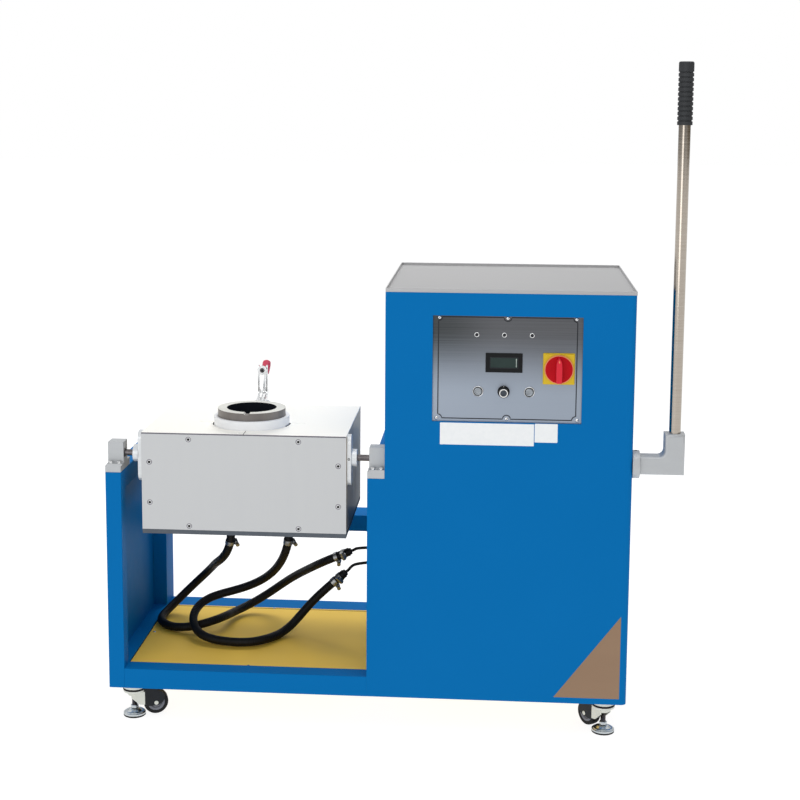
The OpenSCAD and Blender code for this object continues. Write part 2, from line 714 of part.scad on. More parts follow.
module crucible() color("#3B3D40") at(head_mid, cruc_y, cruc_bottom) difference() {
  cylinder(r = cruc_r, h = crucible_deep + cruc_floor, $fn = 96);
  translate([0, 0, cruc_floor]) cylinder(d1 = crucible_bore - 30, d2 = crucible_bore, h = 20 + eps, $fn = 96);
  translate([0, 0, cruc_floor + 20]) cylinder(d = crucible_bore, h = crucible_deep, $fn = 96);
  translate([0, -cruc_r + 8, cruc_floor + crucible_deep + 3]) rotate([90, 0, 0])
    cylinder(r = 7, h = 40, center = true);
}

// Ceramic sleeve whose top shows as a white collar, on a refractory brick
module crucible_collar() color("#EFEFEA") {
  at(head_mid, cruc_y, cruc_bottom) difference() {
    cylinder(d = collar_d, h = head_top + collar_rise - cruc_bottom, $fn = 96);
    translate([0, 0, -1]) cylinder(r = cruc_r + collar_gap, h = head_h + 100, $fn = 96);
  }
  at(head_mid, cruc_y, board_top) cylinder(d = collar_d, h = cruc_bottom - board_top);
}

coil_sweep = 360 * coil_turns - (coil_angles[0] - coil_angles[1]);
coil_steps = 24 * coil_turns;
coil_path = [for (i = [0 : coil_steps]) let (a = coil_angles[0] + coil_sweep * i / coil_steps)
  [coil_r * cos(a), coil_r * sin(a), coil_pitch * coil_turns * i / coil_steps]];
echo(least_coil_gap = min([for (i = [0 : coil_steps - 12], j = [i + 12 : coil_steps])
  norm(coil_path[i] - coil_path[j])]) - coil_tube_d);

module induction_coil() color("#B4693A") {
  tr = coil_tube_d / 2;
  at(head_mid, cruc_y, coil_z) swept_tube(coil_path, tr, coil_sides, [0, 0, 1]);
  at(port_a[0], port_a[1], board_top) cylinder(r = tr, h = coil_z - board_top - tr - 0.4);
  top = coil_z + coil_pitch * coil_turns;
  at(port_b[0], port_b[1], board_top) cylinder(r = tr, h = top - board_top + tr + 1);
  at(head_mid, cruc_y, top) rotate([0, 0, coil_angles[1]])
    translate([coil_r + tr + 0.4, 0, 0]) rod_x(tr - 0.5, coil_out_r - coil_r - tr - 0.4);
}

// Each side: a bar on the casing, a hub and the shaft, made as one weldment
module trunnions() color("#C5C8CA") {
  for (side = [-1, 1]) at(head_mid + side * head_w / 2, axis_back, axis_z)
    mirror([side < 0 ? 1 : 0, 0, 0]) {
      side_plate(bar_t) difference() {
        slot2d([0, head_above - bar_w / 2], [0, head_above - bar_h + bar_w / 2], bar_w / 2);
        circle(shaft_r);
      }
      translate([bar_t, 0, 0]) difference() {
        rod_x(hub_d / 2, hub_l);
        translate([-1, 0, 0]) rod_x(shaft_r, hub_l + 2);
      }
    }
  at(block_over - 2, axis_back, axis_z) rod_x(shaft_r, head_x - block_over + 2);
  at(head_x + head_w, axis_back, axis_z) rod_x(shaft_r, shaft_end - head_x - head_w);
  // Arm inside the cabinet that stops the head level
  at(cab_x + sheet_t + 10, axis_back, axis_z) {
    rod_x(shaft_r + 9, 16);
    translate([0, 0, -stop_arm_h / 2]) cube([16, stop_reach, stop_arm_h]);
  }
}

// Casting with a chamfered square arm and a socket for the lever tube
module lever_elbow() color("#AFAEB1") difference() {
  union() {
    at(elbow_start, axis_back, axis_z) side_plate(lever_x + elbow_s / 2 - elbow_start) chamfered();
    at(lever_x, axis_back, axis_z) linear_extrude(elbow_top - axis_z) chamfered();
    at(lever_x - elbow_s / 2, axis_back, axis_z + elbow_s / 2) fillet_web();
  }
  at(elbow_start - 1, axis_back, axis_z) rod_x(shaft_r + run_fit, shaft_end - elbow_start + 1);
  at(lever_x, axis_back, elbow_top - tube_in) cylinder(r = tube_d / 2 + run_fit, h = tube_in + 1);
}

module chamfered() {
  s = elbow_s / 2;
  polygon([[-s + chamfer, -s], [s - chamfer, -s], [s, -s + chamfer], [s, s - chamfer],
    [s - chamfer, s], [-s + chamfer, s], [-s, s - chamfer], [-s, -s + chamfer]]);
}

// Concave fillet in the elbow's inner corner
module fillet_web() {
  fr = 14;
  w = elbow_s - 2 * chamfer;
  translate([0, w / 2, 0]) rotate([90, 0, 0]) linear_extrude(w) difference() {
    translate([-fr, -eps]) square(fr + eps);
    translate([-fr, fr]) circle(fr);
  }
}

module lever_tube() color("#A9ABAE") at(lever_x, axis_back, elbow_top - tube_in) difference() {
  cylinder(d = tube_d, h = lever_top - 4 - elbow_top + tube_in);
  translate([0, 0, -1]) cylinder(d = tube_d - 4, h = lever_top - 10 - elbow_top + tube_in);
}

module lever_grip() color("#323337") at(lever_x, axis_back, lever_top - grip_l)
  rotate_extrude() difference() {
    union() {
      square([grip_d / 2, grip_l - 3]);
      square([grip_d / 2 - 3, grip_l]);
      translate([grip_d / 2 - 3, grip_l - 3]) circle(3);
    }
    translate([0, -1]) square([tube_d / 2 + run_fit, grip_l - 3]);
    translate([-50, -1]) square([50, grip_l + 2]);
    for (i = [0 : floor((grip_l - 24) / 10)])
      translate([grip_d / 2 - 1.2, 8 + i * 10]) square([3, 3]);
  }

module hose_fittings() color("#B48A3C") for (p = [port_a, port_b]) at(p[0], p[1], head_z) {
  translate([0, 0, -6]) cylinder(r = 13, h = 6, $fn = 6);
  translate([0, 0, -port_drop]) cylinder(r = hose_r - 1, h = port_drop - 6 + eps);
  translate([0, 0, -port_drop]) rotate([0, 0, 200]) hose_clamp([0, 0, 0], [0, 0, 1]);
}

// Toggle clamp that holds the crucible down while it pours, shown open
module at_clamp() at(head_mid, clamp_y, clamp_z) children();

module clamp_base() color("#C0C3C6") at_clamp() {
  translate([-19, -18, head_top - clamp_z]) cube([38, 62, clamp_z - head_top + 3]);
  for (x = [-7.6, 5]) translate([x, 0, 0]) side_plate(2.6) difference() {
    polygon([[-16, 2.9], [40, 2.9], [40, 12], [34, 26], [6, 32], [-6, 32], [-14, 20]]);
    translate(clamp_pivot) circle(clamp_pin_r);
    translate(clamp_base_pivot) circle(clamp_pin_r);
  }
  for (p = [clamp_pivot, clamp_base_pivot]) translate([-13, p[0], p[1]]) rod_x(clamp_pin_r, 26);
}

module clamp_arm() color("#C0C3C6") at_clamp() {
  for (x = [-11, 8]) translate([x, 0, 0]) side_plate(3) difference() {
    union() {
      slot2d(clamp_pivot, [clamp_bar[0], clamp_pivot[1] + 6], 7);
      slot2d([clamp_bar[0], clamp_pivot[1] + 6], [clamp_bar[0], clamp_bar[1] + 4], 5);
      slot2d([clamp_bar[0], clamp_handle_pivot[1]], clamp_handle_pivot, 6);
    }
    translate(clamp_pivot) circle(clamp_pin_r + run_fit);
  }
  translate([-8 - eps, clamp_bar[0] - 4, clamp_bar[1] - 9]) cube([16 + 2 * eps, 8, 14]);
  spindle_l = clamp_bar[0] - 4 - clamp_tip_y;
  translate([0, clamp_bar[0] - 4 + eps, clamp_bar[1] - 2]) rotate([90, 0, 0]) {
    cylinder(r = 4, h = spindle_l);
    translate([0, 0, 0.5]) cylinder(r = 9, h = 3, $fn = 6);
    translate([0, 0, spindle_l - 3 + eps]) cylinder(r = 11, h = 3);
  }
  translate([-9, clamp_handle_pivot[0], clamp_handle_pivot[1]]) rod_x(clamp_pin_r, 18);
}

module clamp_handle() at_clamp() {
  color("#C0C3C6") translate([-2, 0, 0]) side_plate(4) difference() {
    union() {
      slot2d(clamp_handle_pivot, clamp_grip, 6);
      slot2d(clamp_handle_pivot, clamp_link_end, 6);
    }
    translate(clamp_handle_pivot) circle(clamp_pin_r + run_fit);
    translate(clamp_link_end) circle(clamp_pin_r + 1);
  }
  dir = unit(clamp_grip - clamp_handle_pivot);
  tip = clamp_grip + 14 * dir;
  color("#C2283A") translate([0, clamp_grip[0] - 6 * dir[0], clamp_grip[1] - 6 * dir[1]])
    rotate([-atan2(dir[0], dir[1]), 0, 0]) difference() {
      cylinder(r = 10, h = 34);
      translate([-2.1, -6.2, -1]) cube([4.2, 12.4, 13]);
    }
}

module clamp_link() color("#8E9296") at_clamp() for (x = [-4.6, 2.4]) translate([x, 0, 0])
  side_plate(2.2) difference() {
    slot2d(clamp_base_pivot, clamp_link_end, 5.5);
    translate(clamp_base_pivot) circle(clamp_pin_r + run_fit);
    translate(clamp_link_end) circle(clamp_pin_r);
  }

module left_hose() color("#17181A") at(0, 0, 0)
  swept_tube(left_route, hose_r, hose_sides, [1, 0, 0]);

module right_hose() color("#17181A") at(0, 0, 0)
  swept_tube(right_route, hose_r, hose_sides, [1, 0, 0]);

module caster_discs() color(cream) for (s = stations) at(s[0], s[1], floor_gap - disc_t) {
  cylinder(d = disc_d, h = disc_t);
  translate([0, 0, -boss_l]) difference() {
    cylinder(r = boss_r, h = boss_l + eps);
    translate([0, 0, -1]) cylinder(r = stem_d / 2 + 0.3, h = boss_l + 1);
  }
}

// Body with a collar round the stem, and two cheeks that hold the wheel's axle
module caster_housing(s) color(cream) at(s[0], s[1], 0) rotate([0, 0, s[2]]) {
  cheek = 3;
  inner = wheel_w / 2 + 1;
  difference() {
    union() {
      translate([0, 0, swivel_top - 8]) cylinder(d = disc_d - 2, h = 8);
      translate([0, 0, swivel_top - 26]) cylinder(r1 = 15, r2 = 20, h = 18 + eps);
      for (side = [-1, 1]) translate([0, side * (inner + cheek / 2) + cheek / 2, 0])
        rotate([90, 0, 0]) linear_extrude(cheek) difference() {
          polygon([[8, swivel_top - 8], [8, swivel_top - 20], [trail - 9, wheel_z - 8],
            [trail + 9, wheel_z - 8], [trail + 14, wheel_z + 12], [trail, swivel_top]]);
          translate([trail, wheel_z]) circle(axle_r);
        }
      translate([0, -inner - 1, swivel_top - 5]) cube([trail, 2 * inner + 2, 5]);
    }
    translate([0, 0, floor_gap - disc_t - boss_l - 0.5]) cylinder(r = boss_r + 0.3, h = boss_l + 1);
    cylinder(r = stem_d / 2 + 0.3, h = floor_gap);
    translate([trail, -inner, wheel_z]) rod_y(wheel_d / 2 + 1.5, 2 * inner);
  }
  translate([trail, -inner - cheek - 1, wheel_z]) rod_y(axle_r, 2 * (inner + cheek + 1));
}

module caster_wheel(s) color("#24262A") at(s[0], s[1], 0) rotate([0, 0, s[2]])
  translate([trail, 0, wheel_z]) rotate([90, 0, 0]) translate([0, 0, -wheel_w / 2]) rotate_extrude()
    polygon([[axle_r + run_fit, 0], [wheel_d / 2 - 3, 0], [wheel_d / 2, 3],
      [wheel_d / 2, wheel_w - 3], [wheel_d / 2 - 3, wheel_w], [axle_r + run_fit, wheel_w]]);

module levelling_foot(s) color("#D6D8DA") at(s[0], s[1], 0) rotate_extrude()
  polygon([[0, 0], [pad_d / 2, 0], [pad_d / 2, 5], [pad_d / 2 - 2, 8], [pad_d / 2 - 7, 12],
    [14, 15], [9, 18], [9, 24], [stem_d / 2, 25], [stem_d / 2, stem_top], [0, stem_top]]);

base_rails();
bay_frame();
cabinet_frame();
left_side_panel();
floor_trays();
front_panel();
cabinet_left_panel();
cabinet_right_panel();
cabinet_rear_panel();
top_tray();
frame_fasteners();
control_plate();
isolator_plate();
power_meter();
button_and_lamp_bezels();
isolator_handle();
start_button();
stop_button();
power_knob();
power_module();
capacitor_bank();
output_transformer();
water_manifold();
bearing_blocks();
outboard_bearing();
hose_terminals();
head_front_plate();
head_rear_plate();
head_side_plates();
head_top_plate();
head_base_board();
head_screws();
crucible();
crucible_collar();
induction_coil();
trunnions();
lever_elbow();
lever_tube();
lever_grip();
hose_fittings();
clamp_base();
clamp_arm();
clamp_handle();
clamp_link();
left_hose();
right_hose();
caster_discs();
caster_housing(stations[0]);  // caster_housing_fl
caster_housing(stations[1]);  // caster_housing_fr
caster_housing(stations[2]);  // caster_housing_rl
caster_housing(stations[3]);  // caster_housing_rr
caster_wheel(stations[0]);  // caster_wheel_fl
caster_wheel(stations[1]);  // caster_wheel_fr
caster_wheel(stations[2]);  // caster_wheel_rl
caster_wheel(stations[3]);  // caster_wheel_rr
levelling_foot(stations[0]);  // levelling_foot_fl
levelling_foot(stations[1]);  // levelling_foot_fr
levelling_foot(stations[2]);  // levelling_foot_rl
levelling_foot(stations[3]);  // levelling_foot_rr
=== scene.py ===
# Lever-tilted induction melting furnace: a blue tube frame with a control cabinet, and a
# steel-cased melting head that tips forward on a shaft. The pieces come in the order of assembly.
import bmesh
import bpy
import math
from mathutils import Matrix, Vector


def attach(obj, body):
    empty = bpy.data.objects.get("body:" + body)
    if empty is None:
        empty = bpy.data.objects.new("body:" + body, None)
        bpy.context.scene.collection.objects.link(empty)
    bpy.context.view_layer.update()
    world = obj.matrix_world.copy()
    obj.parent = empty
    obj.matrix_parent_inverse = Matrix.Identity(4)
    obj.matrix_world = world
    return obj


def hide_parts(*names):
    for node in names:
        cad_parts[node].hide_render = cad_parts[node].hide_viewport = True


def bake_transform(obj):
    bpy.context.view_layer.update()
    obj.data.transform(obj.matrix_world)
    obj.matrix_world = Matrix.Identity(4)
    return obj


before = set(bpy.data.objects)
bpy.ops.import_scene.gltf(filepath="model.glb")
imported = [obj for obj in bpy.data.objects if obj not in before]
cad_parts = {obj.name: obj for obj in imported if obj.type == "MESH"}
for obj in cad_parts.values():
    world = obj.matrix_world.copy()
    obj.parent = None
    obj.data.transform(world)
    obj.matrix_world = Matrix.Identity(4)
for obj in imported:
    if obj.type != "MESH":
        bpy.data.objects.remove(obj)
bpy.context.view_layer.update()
scene = bpy.context.scene

# ---- Camera
# Stands in front of the furnace, a little right of its middle and just below the lever's top,
# and looks slightly down. Its lens and shift give the photograph's frame.
camera = bpy.data.objects.new("camera", bpy.data.cameras.new("camera"))
scene.collection.objects.link(camera)
scene.camera = camera
camera.location = (0.23128, -3.52418, 1.39634)
camera.rotation_euler = (1.4309336, -0.0052549, 0.0780397)
camera.data.sensor_width = 36
camera.data.lens = 69.381
camera.data.shift_x = 0.022497
camera.data.shift_y = -0.106214

# ---- Studio
# A white room with soft light from above and the front. Polished metal sees a pale ceiling,
# grey walls and a brownish wall on the right. The floor is pale and matt.


class Wire:
    """An output of a node. Sums written with it add Math nodes to its tree."""

    def __init__(self, nodes, socket):
        self.nodes, self.socket = nodes, socket

    def math(self, operation, a, b):
        return self.nodes.add("ShaderNodeMath", {"operation": operation}, {0: a, 1: b})

    def __add__(self, other):
        return self.math("ADD", self, other)

    def __sub__(self, other):
        return self.math("SUBTRACT", self, other)

    def __rsub__(self, other):
        return self.math("SUBTRACT", other, self)

    def __mul__(self, other):
        return self.math("MULTIPLY", self, other)

    def held(self, low, high):
        """Rises from 0 at low to 1 at high, and stays there."""
        return self.nodes.add("ShaderNodeMapRange", {"interpolation_type": "SMOOTHSTEP"},
                              {0: self, 1: low, 2: high})

    __radd__ = __add__
    __rmul__ = __mul__


class Nodes:
    """A node tree, of the world, a material or a modifier."""

    def __init__(self, tree):
        self.tree = tree

    def feed(self, socket, value):
        if isinstance(value, Wire):
            self.tree.links.new(value.socket, socket)
        else:
            socket.default_value = value

    def add(self, kind, settings=None, sockets=None, out=0):
        """A new node: its settings first, then its sockets. Returns one output, or several."""
        node = self.tree.nodes.new(kind)
        for name, value in (settings or {}).items():
            setattr(node, name, value)
        for key, value in (sockets or {}).items():
            self.feed(node.inputs[key], value)
        if isinstance(out, int):
            return Wire(self, node.outputs[out])
        return [Wire(self, node.outputs[i]) for i in out]

    def mix(self, share, first, second):
        """From one colour to the other."""
        return self.add("ShaderNodeMix", {"data_type": "RGBA"}, {0: share, 6: first, 7: second}, 2)

    def apart(self, vector):
        return self.add("ShaderNodeSeparateXYZ", None, {0: vector}, (0, 1, 2))


def tint(red, green, blue):
    """A colour as paint charts give it, 0 to 255, made ready for a shader."""
    steps = [c / 255 for c in (red, green, blue)]
    return (*[c / 12.92 if c <= 0.04045 else ((c + 0.055) / 1.055) ** 2.4 for c in steps], 1.0)


scene.view_settings.view_transform = "Standard"
scene.world = bpy.data.worlds.new("studio")
scene.world.use_nodes = True
room = Nodes(scene.world.node_tree)
across, _, height = room.apart(room.add("ShaderNodeTexCoord"))
walls = room.mix(height.held(-0.05, 0.55), tint(150, 150, 150), tint(255, 255, 255))
walls = room.mix(across.held(0.35, 0.9) * (1 - height.held(0.2, 0.6)), walls, tint(112, 103, 88))
walls = room.mix(height.held(-0.5, -0.02), tint(225, 225, 225), walls)
seen, glossy = room.add("ShaderNodeLightPath", out=(0, 3))
soft = room.mix(glossy, (0.50, 0.50, 0.50, 1), walls)
room.feed(scene.world.node_tree.nodes["Background"].inputs[0], room.mix(seen, soft, (1, 1, 1, 1)))


def lamp_panel(name, place, aim, size, power):
    """A large soft light that isn't seen itself."""
    lamp = bpy.data.objects.new(name, bpy.data.lights.new(name, "AREA"))
    lamp.data.shape, lamp.data.size, lamp.data.energy = "SQUARE", size, power
    lamp.location = place
    lamp.rotation_euler = (Vector(aim) - Vector(place)).to_track_quat("-Z", "Y").to_euler()
    lamp.visible_camera = False
    scene.collection.objects.link(lamp)
    return lamp


lamp_panel("front_light", (-1.2, -3.9, 1.5), (-0.1, 0, 0.4), 2.2, 27)
lamp_panel("top_light", (0.6, -0.8, 3.4), (0, 0, 0.4), 2.0, 20)
lamp_panel("rear_light", (-0.4, 2.4, 2.3), (-0.32, 0, 0.2), 1.6, 67).visible_glossy = False


class Finish(Nodes):
    """A material. Its colour drifts from low to high with a cloud: how many to the metre, their
    detail and stretch. rough is a share of the cloud and the least, skin is a bump's depth in
    metres, and numbers after those give them a cloud of their own. Constants stay constant."""

    def __init__(self, name, cloud=None, low=None, high=None, rough=None, skin=None, **constants):
        self.material = bpy.data.materials.new(name)
        self.material.use_nodes = True
        super().__init__(self.material.node_tree)
        self.shader = self.tree.nodes["Principled BSDF"]
        self.give(**constants)
        if cloud:
            self.cloud = self.noise(*cloud)
            self.give(Base_Color=self.mix(self.cloud, tint(*low), tint(*high)))
        if rough:
            share, least, *own = rough
            self.give(Roughness=(self.noise(*own) if own else self.cloud) * share + least)
        if skin:
            depth, *own = skin
            self.bump(self.noise(*own) if own else self.cloud, depth)

    def give(self, **values):
        for name, value in values.items():
            self.feed(self.shader.inputs[name.replace("_", " ")], value)

    def place(self, stretch=(1, 1, 1)):
        spot = self.add("ShaderNodeTexCoord", out=3)
        return self.add("ShaderNodeMapping", None, {0: spot, 3: stretch})

    def noise(self, scale, detail=3.0, stretch=(1, 1, 1)):
        return self.add("ShaderNodeTexNoise", None,
                        {"Vector": self.place(stretch), "Scale": scale, "Detail": detail})

    def bump(self, height, depth):
        self.give(Normal=self.add("ShaderNodeBump", None, {"Distance": depth, "Height": height}))


floor_finish = Finish("pale_floor", (6,), (130, 130, 131), (136, 136, 137), Roughness=0.9,
                      Emission_Strength=0.9, Specular_IOR_Level=0.0,
                      Emission_Color=tint(255, 255, 255))
ground = bpy.data.meshes.new("floor")
ground.from_pydata([(-30, -30, 0), (30, -30, 0), (30, 30, 0), (-30, 30, 0)], [], [(0, 1, 2, 3)])
ground.materials.append(floor_finish.material)
floor = bpy.data.objects.new("floor", ground)
scene.collection.objects.link(floor)

# ---- Water-cooled hoses
# Two black rubber hoses with a cloth-wrapped skin, 20 mm thick. Each hangs from a fitting under
# the head, lies on the floor tray in a loop, and goes up to the cabinet's left side.
hose_thick = 20
hose_skin = hose_thick / 2000
hose_sides = 24
band_thick = 0.0014


def shop(x, y, z):
    """A point in millimetres from the frame's front left corner on the floor, in the row frame."""
    return Vector(((x - 632) / 1000, (y - 263) / 1000, z / 1000))


def smooth(points, steps):
    """A smooth line through the points, with that many steps between two of them."""
    rows = [Vector(p) for p in points]
    rows = [2 * rows[0] - rows[1], *rows, 2 * rows[-1] - rows[-2]]
    line = []
    for a, b, c, d in zip(rows, rows[1:], rows[2:], rows[3:]):
        for t in (k / steps for k in range(steps)):
            line.append(0.5 * (2 * b + (c - a) * t + (2 * a - 5 * b + 4 * c - d) * t ** 2
                               + (3 * b - a - 3 * c + d) * t ** 3))
    return line + [rows[-2]]


def distances(line):
    """How far along a line each of its points lies."""
    runs = [0.0]
    for a, b in zip(line, line[1:]):
        runs.append(runs[-1] + (b - a).length)
    return runs


def rings_along(line, radius, sides):
    """Rings of points square to a line, carried along it without a twist."""
    normal, rings = None, []
    for i, point in enumerate(line):
        way = (line[min(i + 1, len(line) - 1)] - line[max(i - 1, 0)]).normalized()
        normal = way.orthogonal() if normal is None else normal - normal.dot(way) * way
        normal.normalize()
        other = way.cross(normal)
        rings.append([point + radius * (math.cos(a) * normal + math.sin(a) * other)
                      for a in (2 * math.pi * k / sides for k in range(sides))])
    return rings


def walled(shape, rows, closed=False):
    """Faces between rows of points that go round. A row of one point is a pole. The last row of
    a closed shape joins its first, and the ends of an open one are capped."""
    rows = [[shape.verts.new(p) for p in row] for row in rows]
    sides = max(map(len, rows))
    for a, b in zip(rows, rows[1:] + rows[:1] * closed):
        for k in range(sides):
            n = (k + 1) % sides
            corners = list(dict.fromkeys((a[k % len(a)], a[n % len(a)],
                                          b[n % len(b)], b[k % len(b)])))
            if len(corners) > 2:
                shape.faces.new(corners)
    for end in (rows[0][::-1], rows[-1]):
        if len(end) > 1 and not closed:
            shape.faces.new(end)


def placed(name, mesh, sharp):
    """An object of a mesh, at the origin, shaded smooth up to an angle."""
    for face in mesh.polygons:
        face.use_smooth = True
    mesh.set_sharp_from_angle(angle=math.radians(sharp))
    thing = bpy.data.objects.new(name, mesh)
    scene.collection.objects.link(thing)
    return thing


def shaped(name, shape, finishes, sharp=38):
    """An object of a bmesh shape, which ends here."""
    mesh = bpy.data.meshes.new(name)
    shape.to_mesh(mesh)
    shape.free()
    for finish in finishes:
        mesh.materials.append(finish.material)
    return placed(name, mesh, sharp)


hose_finish = Finish("hose_rubber", (60,), (5, 5, 6), (20, 20, 22), (0.25, 0.38),
                     Specular_IOR_Level=0.22)
round_, along, _ = hose_finish.apart(hose_finish.add("ShaderNodeUVMap", {"uv_map": "wrap"}))
wrap = hose_finish.add("ShaderNodeMath", {"operation": "SINE"},
                       {0: along * 1200.0 + round_ * 6.2832})
hose_finish.bump(wrap + hose_finish.cloud * 2, 0.0003)

left_route = [
    (245.15, 197.31, 425), (245.15, 197.31, 399), (241.1, 203.2, 365.3), (230.5, 219.8, 337.2),
    (217.1, 243.7, 316.2), (204.3, 271.4, 299.8), (193, 301.1, 286), (182.5, 331.4, 272.7),
    (171.8, 361, 258.2), (158.9, 388.3, 241.3), (141.3, 409.7, 220.7), (118.6, 420.7, 197.2),
    (94.1, 418.7, 173.2), (71.7, 403.2, 152.1), (55, 376.8, 137.8), (47.1, 343.7, 132.3),
    (51.5, 309.6, 132.4), (69.2, 280, 132.1), (97.3, 260.3, 133.2), (130.8, 253.6, 137.4),
    (163.9, 261.3, 143), (191.1, 282, 146.9), (208.5, 311.7, 146.5), (216.1, 345.1, 141.8),
    (225.3, 378.2, 138), (244.6, 406.5, 141), (271, 425.6, 152.1), (299.8, 432.4, 169.7),
    (326.9, 427.1, 190.5), (351.4, 413.5, 210.8), (373.4, 394.1, 229.2), (393.6, 371.6, 246.1),
    (413, 347.8, 262.3), (433.3, 324.9, 278.5), (457.9, 307.1, 294.8), (488.1, 300, 309.9),
    (512, 300, 320)]
right_route = [
    (379.49, 208.8, 425), (379.49, 208.8, 399), (376.8, 213.7, 368.9), (369.6, 226.7, 342),
    (360, 243.8, 318.3), (348.6, 262.7, 296.8), (335.2, 281.8, 276.7), (319.2, 300.2, 257.9),
    (300.1, 316.7, 240.4), (277.4, 330.3, 224.7), (251, 338.8, 211.4), (222, 340.2, 201.3),
    (193.1, 332.8, 194.4), (167.9, 316.7, 188.1), (150.1, 293.2, 179.5), (141.8, 265.8, 168.5),
    (144.5, 238, 155.9), (157.6, 212.8, 144.5), (179.4, 192.7, 137.2), (207.2, 180, 134),
    (237.2, 173.4, 133), (267.9, 171.4, 132.8), (297.7, 178.5, 132.8), (323.2, 195.5, 133.3),
    (341.3, 220.2, 132.4), (357.6, 246.3, 133.9), (376.1, 268.3, 144.4), (394.9, 283.8, 162.9),
    (414.4, 292.9, 184.9), (435.4, 297.5, 206.9), (457.7, 299.4, 228.1), (480.5, 300, 248.8),
    (500, 300, 266)]
band_steel = Finish("band_steel", (120,), (84, 86, 86), (206, 208, 208), (0.2, 0.2), Metallic=0.9)


def hose_band(name, line, near, far, spin):
    """A worm-drive band on a hose, from near to far metres along its line, with its screw."""
    part = [p for p, run in zip(line, distances(line)) if near <= run <= far]
    shape = bmesh.new()
    walled(shape, rings_along(part, hose_skin + band_thick, hose_sides)
           + rings_along(part, hose_skin + 0.00005, hose_sides)[::-1], closed=True)
    way = (part[-1] - part[0]).normalized()
    out = Matrix.Rotation(math.radians(spin), 3, way) @ way.orthogonal().normalized()
    to = Matrix.Translation(part[len(part) // 2]) @ Matrix(
        (out, way.cross(out), way)).transposed().to_4x4()
    box = bmesh.ops.create_cube(shape, size=1, matrix=to @ Matrix.Translation(
        (hose_skin + 0.0035, 0, 0)) @ Matrix.Diagonal((0.0065, 0.014, 0.01, 1)))
    edges = list({e for v in box["verts"] for e in v.link_edges})
    bmesh.ops.bevel(shape, geom=edges, offset=0.0012, segments=2, profile=0.5, affect="EDGES")
    for thick, long, shift in ((0.0038, 0.02, 0.003), (0.0046, 0.004, 0.0125)):
        bmesh.ops.create_cone(shape, cap_ends=True, segments=16, radius1=thick, radius2=thick,
                              depth=long, matrix=to @ Matrix.Translation(
                                  (hose_skin + 0.005, shift, 0)) @ Matrix.Rotation(
                                      math.pi / 2, 4, "X"))
    bmesh.ops.recalc_face_normals(shape, faces=shape.faces)
    band = shaped(name, shape, (band_steel,), 35)
    return band


for name, route, bend_start in (("left_hose", left_route, (327.4, 279.5, 260.6)),
                                ("right_hose", right_route, (434.5, 263.8, 315))):
    line = [shop(*p) for p in smooth(route, 8)]
    runs = distances(line)
    hose = bmesh.new()
    uv = hose.loops.layers.uv.new("wrap")
    walled(hose, rings_along(line, hose_skin, hose_sides))
    for count, face in enumerate(list(hose.faces)[:-2]):
        i, k = divmod(count, hose_sides)
        for corner, (u, v) in zip(face.loops, ((k, i), (k + 1, i), (k + 1, i + 1), (k, i + 1))):
            corner[uv].uv = (u / hose_sides, runs[v])
    bmesh.ops.recalc_face_normals(hose, faces=hose.faces)
    tube = shaped(name + "_rubber", hose, (hose_finish,))
    shop(*bend_start)
    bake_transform(tube)
    upper = hose_band(name + "_upper_band", line, 0.052, 0.066, 200)
    shop(*bend_start)
    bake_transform(upper)
    back = line[::-1]
    bands = [hose_band(name + "_end_band", back, 0.008, 0.022, 30),
             hose_band(name + "_second_band", back, 0.026, 0.040, 300)]
    for band in bands:
        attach(band, "frame")
    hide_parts(name)

# ---- Base frame, side frames and cabinet frame
# Square steel tubes, welded, ground flush and powder-coated blue. The thin skin of the outer
# side stands back between its tubes, and the rails of the base carry the floor trays.
laid = {"x": lambda u, v, w: (w, u, v), "y": lambda u, v, w: (u, w, v),
        "z": lambda u, v, w: (u, v, w)}
corner_point = shop(0, 0, 0)


